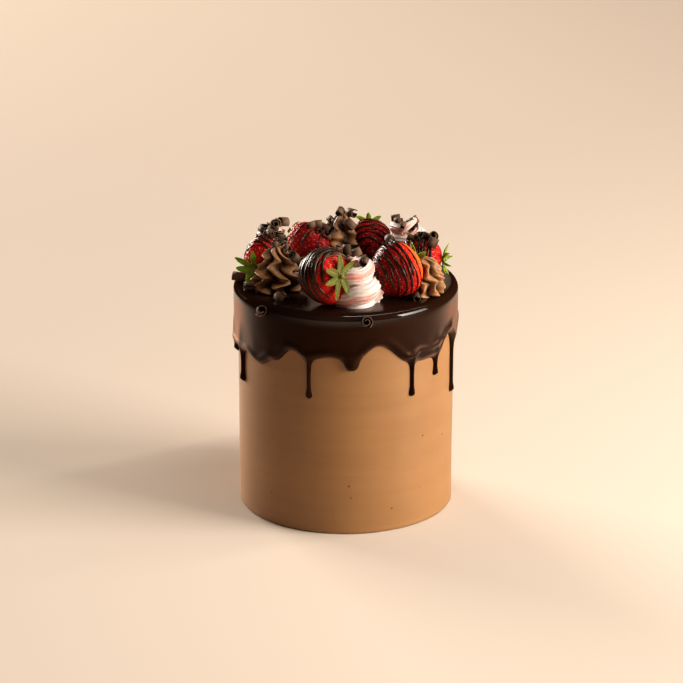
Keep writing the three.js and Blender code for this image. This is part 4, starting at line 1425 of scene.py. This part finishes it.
def pipe_cream(swirl, number, tree):
    """A swirl of piped cream set on the ganache."""
    name = "cream_swirl_" + swirl["side"]
    mesh = grow(name, tree, rope_sizes(swirl, number))
    turn, foot = swirl_seat(swirl)
    matrix = Matrix(turn.tolist()).to_4x4()
    matrix.translation = Vector(foot) * MM
    mesh.transform(matrix)
    return add_piece(name + "_piping", mesh, [name])


def pipe_swirls():
    """All swirls, in the order they stand round the cake."""
    tree = cream_tree()
    pieces = []
    for number, swirl in enumerate(SWIRLS):
        if swirl["kind"] == "chocolate":
            pieces.append(pipe_chocolate(swirl, number))
        else:
            pieces.append(pipe_cream(swirl, number, tree))
    return pieces


# Chocolate curls


def on_edge(number):
    """Whether a curl is one of the first few, which stick to the ganache's edge."""
    return number < len(CURLS_ON_EDGE)


def curl_size(number):
    """The size of a curl: its own on the ganache's edge, and scattered elsewhere."""
    return CURLS_ON_EDGE[number][2] if on_edge(number) else spread(CURL_SIZE, number, GOLDEN_SHARE)


def curl_lift(number):
    """How far a curl's middle lies off the surface it rests on."""
    sink = EDGE_CURL_SINK if on_edge(number) else CURL_SINK
    return CURL_RADIUS * curl_size(number) - sink


def curl_turn(out, number):
    """A turn that lays a curl on a surface, scattered by its number."""
    if on_edge(number):
        return turned_to(EDGE_CURL_WAY) @ spin("Z", number * GOLDEN_ANGLE)
    turn = turned_to(out) @ spin("Z", number * GOLDEN_ANGLE) @ spin("Y", spread(CURL_TILT, number, 0.73))
    return turn @ spin("Z", spread(CURL_ROLL, number, 0.61))


def landing(surfaces, place):
    """The spot, in millimetres, where something dropped at a place lands, and the outward way there."""
    best = (np.array([*place, GANACHE_TOP]), np.array([0, 0, 1.0]))
    for surface in surfaces:
        spot, out, _, _ = surface.ray_cast(Vector((*place, DROP_HEIGHT)) * MM, Vector((0, 0, -1)))
        if spot is not None and spot.z / MM > best[0][2]:
            best = (np.array(spot) / MM, np.array(out))
    return best


def dropped_curls(surfaces):
    """Places, outward ways and numbers of the curls in heaps on the toppings."""
    found = []
    for heap, (azimuth, ring, radius, count) in enumerate(CURL_HEAPS):
        for index in range(count):
            number = FIRST_IN_HEAPS + NUMBERS_A_HEAP * heap + index
            away = radius * math.sqrt((index + 0.5) / count)
            place = around(azimuth, ring, 0) + around(number * GOLDEN_ANGLE, away, 0)
            found.append((*landing(surfaces, place[:2]), number))
    return found


def stacked(spots, sizes):
    """Curl spots lifted so that each rests on the earlier ones it meets."""
    done = []
    for spot, size in zip(spots, sizes):
        lifted = spot[2]
        for below, other in done:
            reach = CURL_PACKING * CURL_RADIUS * (size + other)
            apart = math.dist(spot[:2], below[:2])
            if apart < reach and abs(spot[2] - below[2]) < 2 * reach:
                lifted = max(lifted, below[2] + math.sqrt(reach**2 - apart**2))
        done.append((np.array([spot[0], spot[1], lifted]), size))
    return [spot for spot, _ in done]


def curls_on_ganache():
    """Places, outward ways and numbers of the curls on the ganache's edge, on its top and in the middle."""
    found = []
    up = np.array([0, 0, 1.0])
    reaches, heights = zip(*reversed(ganache_shoulder()))
    for azimuth, height, _ in CURLS_ON_EDGE:
        reach = np.interp(height, heights, reaches)
        found.append((around(azimuth, reach, height), unit(around(azimuth, *EDGE_CURL_OUT))))
    for azimuth, reach in CURLS_ON_TOP:
        found.append((around(azimuth, reach, GANACHE_TOP), up))
    for index in range(CURLS_IN_MIDDLE):
        reach = MIDDLE_RADIUS * math.sqrt((index + 0.5) / CURLS_IN_MIDDLE)
        height = GANACHE_TOP + (SECOND_LAYER if index % 3 == 2 else 0)
        found.append((around(index * GOLDEN_ANGLE, reach, height), up))
    return [(spot, out, number) for number, (spot, out) in enumerate(found)]


def curl_hollow(turns):
    """Where a curl's inner end starts, as a share of its radius: tighter rolls start further in."""
    unrolled, less, least = CURL_HOLLOW
    return max(least, unrolled - less * turns)


def curl_tree(sizes):
    """Geometry Nodes: rolled chocolate curls of several tightnesses, one at each point."""
    tree, given = new_tree("chocolate_curls", sizes)
    size = given.outputs
    values = {"Width": size["Wall"], "Height": size["Length"]}
    strip = result(tree, "GeometryNodeCurvePrimitiveQuadrilateral", values)
    strip = result(tree, "GeometryNodeSubdivideCurve", {"Curve": strip, "Cuts": 1})
    spot = result(tree, "GeometryNodeInputPosition")
    across = node(tree, "ShaderNodeSeparateXYZ", {"Vector": spot}).outputs["X"]
    # Marks the strip's inner side, which the curls' finish paints with shade
    strip = stored(tree, strip, "inside", maths(tree, "GREATER_THAN", across, 0.0))
    forms = node(tree, "GeometryNodeJoinGeometry")
    for turns in reversed(CURL_FORMS):
        values = {"Resolution": CURL_STEPS, "Rotations": turns, "Height": 0.0, "End Radius": size["Radius"]}
        values["Start Radius"] = maths(tree, "MULTIPLY", size["Radius"], curl_hollow(turns))
        roll = result(tree, "GeometryNodeCurveSpiral", values)
        values = {"Curve": roll, "Profile Curve": strip, "Fill Caps": True}
        curl = result(tree, "GeometryNodeCurveToMesh", values)
        values = {"Geometry": curl, "Rotation": (0, 0, math.pi * turns)}
        curl = result(tree, "GeometryNodeTransform", values)
        form = result(tree, "GeometryNodeGeometryToInstance", {"Geometry": curl})
        tree.links.new(form, forms.inputs[0])
    values = {"Points": size["Geometry"], "Instance": forms.outputs[0], "Pick Instance": True}
    values["Instance Index"] = named(tree, "form", "INT")
    values["Rotation"] = named(tree, "turn", "QUATERNION")
    values["Scale"] = named(tree, "size", "FLOAT_VECTOR")
    close_tree(tree, result(tree, "GeometryNodeInstanceOnPoints", values), CURL)
    return tree


def scatter_curls(toppings):
    """All chocolate curls as one piece."""
    graph = bpy.context.evaluated_depsgraph_get()
    surfaces = [BVHTree.FromObject(piece, graph) for piece in toppings]
    found = curls_on_ganache() + dropped_curls(surfaces)
    widths = [curl_size(number) for _, _, number in found]
    spots = [spot + curl_lift(number) * out for spot, out, number in found]
    turns = [curl_turn(out, number) for _, out, number in found]
    forms = [(number + FIRST_FORM) % len(CURL_FORMS) for _, _, number in found]
    scales = [(w, w, w * spread(CURL_STRETCH, index, 0.55)) for index, w in enumerate(widths)]
    start = point_mesh("curl_spots", stacked(spots, widths), turns, scales, forms)
    sizes = {"Radius": CURL_RADIUS * MM, "Wall": CURL_WALL * MM, "Length": CURL_LENGTH * MM}
    add_piece("chocolate_curls", grow("chocolate_curls", curl_tree(sizes), sizes, start))


# Floor, light and camera


def floor_finish():
    """Plain pale warm floor."""
    material, tree, shader = new_finish("pale_floor", 0.7, 0.2)
    colour = ramp(tree, grain(tree, 1.2, 2), [(0.3, (0.585, 0.475, 0.39)), (0.7, (0.605, 0.49, 0.405))])
    tree.links.new(colour, shader.inputs["Base Color"])
    return material


def lay_floor():
    """A wide plain floor."""
    half, low = FLOOR_HALF, FLOOR_HEIGHT
    corners = [(-half, -half, low), (half, -half, low), (half, half, low), (-half, half, low)]
    mesh = make_mesh("floor", np.array(corners), [(0, 1, 2, 3)], floor_finish())
    floor = bpy.data.objects.new("floor", mesh)
    bpy.context.scene.collection.objects.link(floor)


def soft_box(name, azimuth, elevation, distance, size, power, colour, roll=0):
    """A soft box that faces the cake, rolled about the way it faces."""
    lamp = bpy.data.lights.new(name, "AREA")
    lamp.shape = "RECTANGLE"
    lamp.size, lamp.size_y = size
    lamp.energy = power
    lamp.color = colour
    box = bpy.data.objects.new(name, lamp)
    bpy.context.scene.collection.objects.link(box)
    rise = math.radians(elevation)
    aim = Vector((0, 0, AIM_HEIGHT))
    box.location = Vector(around(azimuth, distance * math.cos(rise), distance * math.sin(rise))) + aim
    facing = (aim - box.location).to_track_quat("-Z", "Y").to_matrix()
    box.rotation_euler = (facing @ Matrix.Rotation(math.radians(roll), 3, "Z")).to_euler()
    return box


def light_studio():
    """Soft studio light, mostly from the right."""
    for values in SOFT_BOXES:
        soft_box(**values)
    floor_box = soft_box(**FLOOR_BOX)
    floor_box.data.spread = math.radians(FLOOR_BOX_SPREAD)
    floor_box.rotation_euler = (0, 0, 0)
    world = bpy.data.worlds.new("studio")
    bpy.context.scene.world = world
    world.use_nodes = True
    background = world.node_tree.nodes["Background"]
    background.inputs["Color"].default_value = ROOM_COLOUR
    background.inputs["Strength"].default_value = ROOM_LIGHT


def set_camera():
    """The camera, in front of the cake and above it."""
    camera = bpy.data.objects.new("camera", bpy.data.cameras.new("camera"))
    bpy.context.scene.collection.objects.link(camera)
    camera.data.lens = LENS
    camera.data.sensor_width = SENSOR
    camera.data.clip_end = SEES_TO
    camera.location = CAMERA_AT
    camera.rotation_euler = (math.radians(CAMERA_PITCH), 0, 0)
    bpy.context.scene.camera = camera
    bpy.context.scene.view_settings.view_transform = "Standard"


frost_cake()
pour_ganache()
berry_pieces = set_strawberries()
drizzle_strawberries()
for berry in BERRIES:
    leaf_strawberry(berry)
scatter_curls(berry_pieces + pipe_swirls())
lay_floor()
light_studio()
set_camera()

bpy.context.view_layer.update()
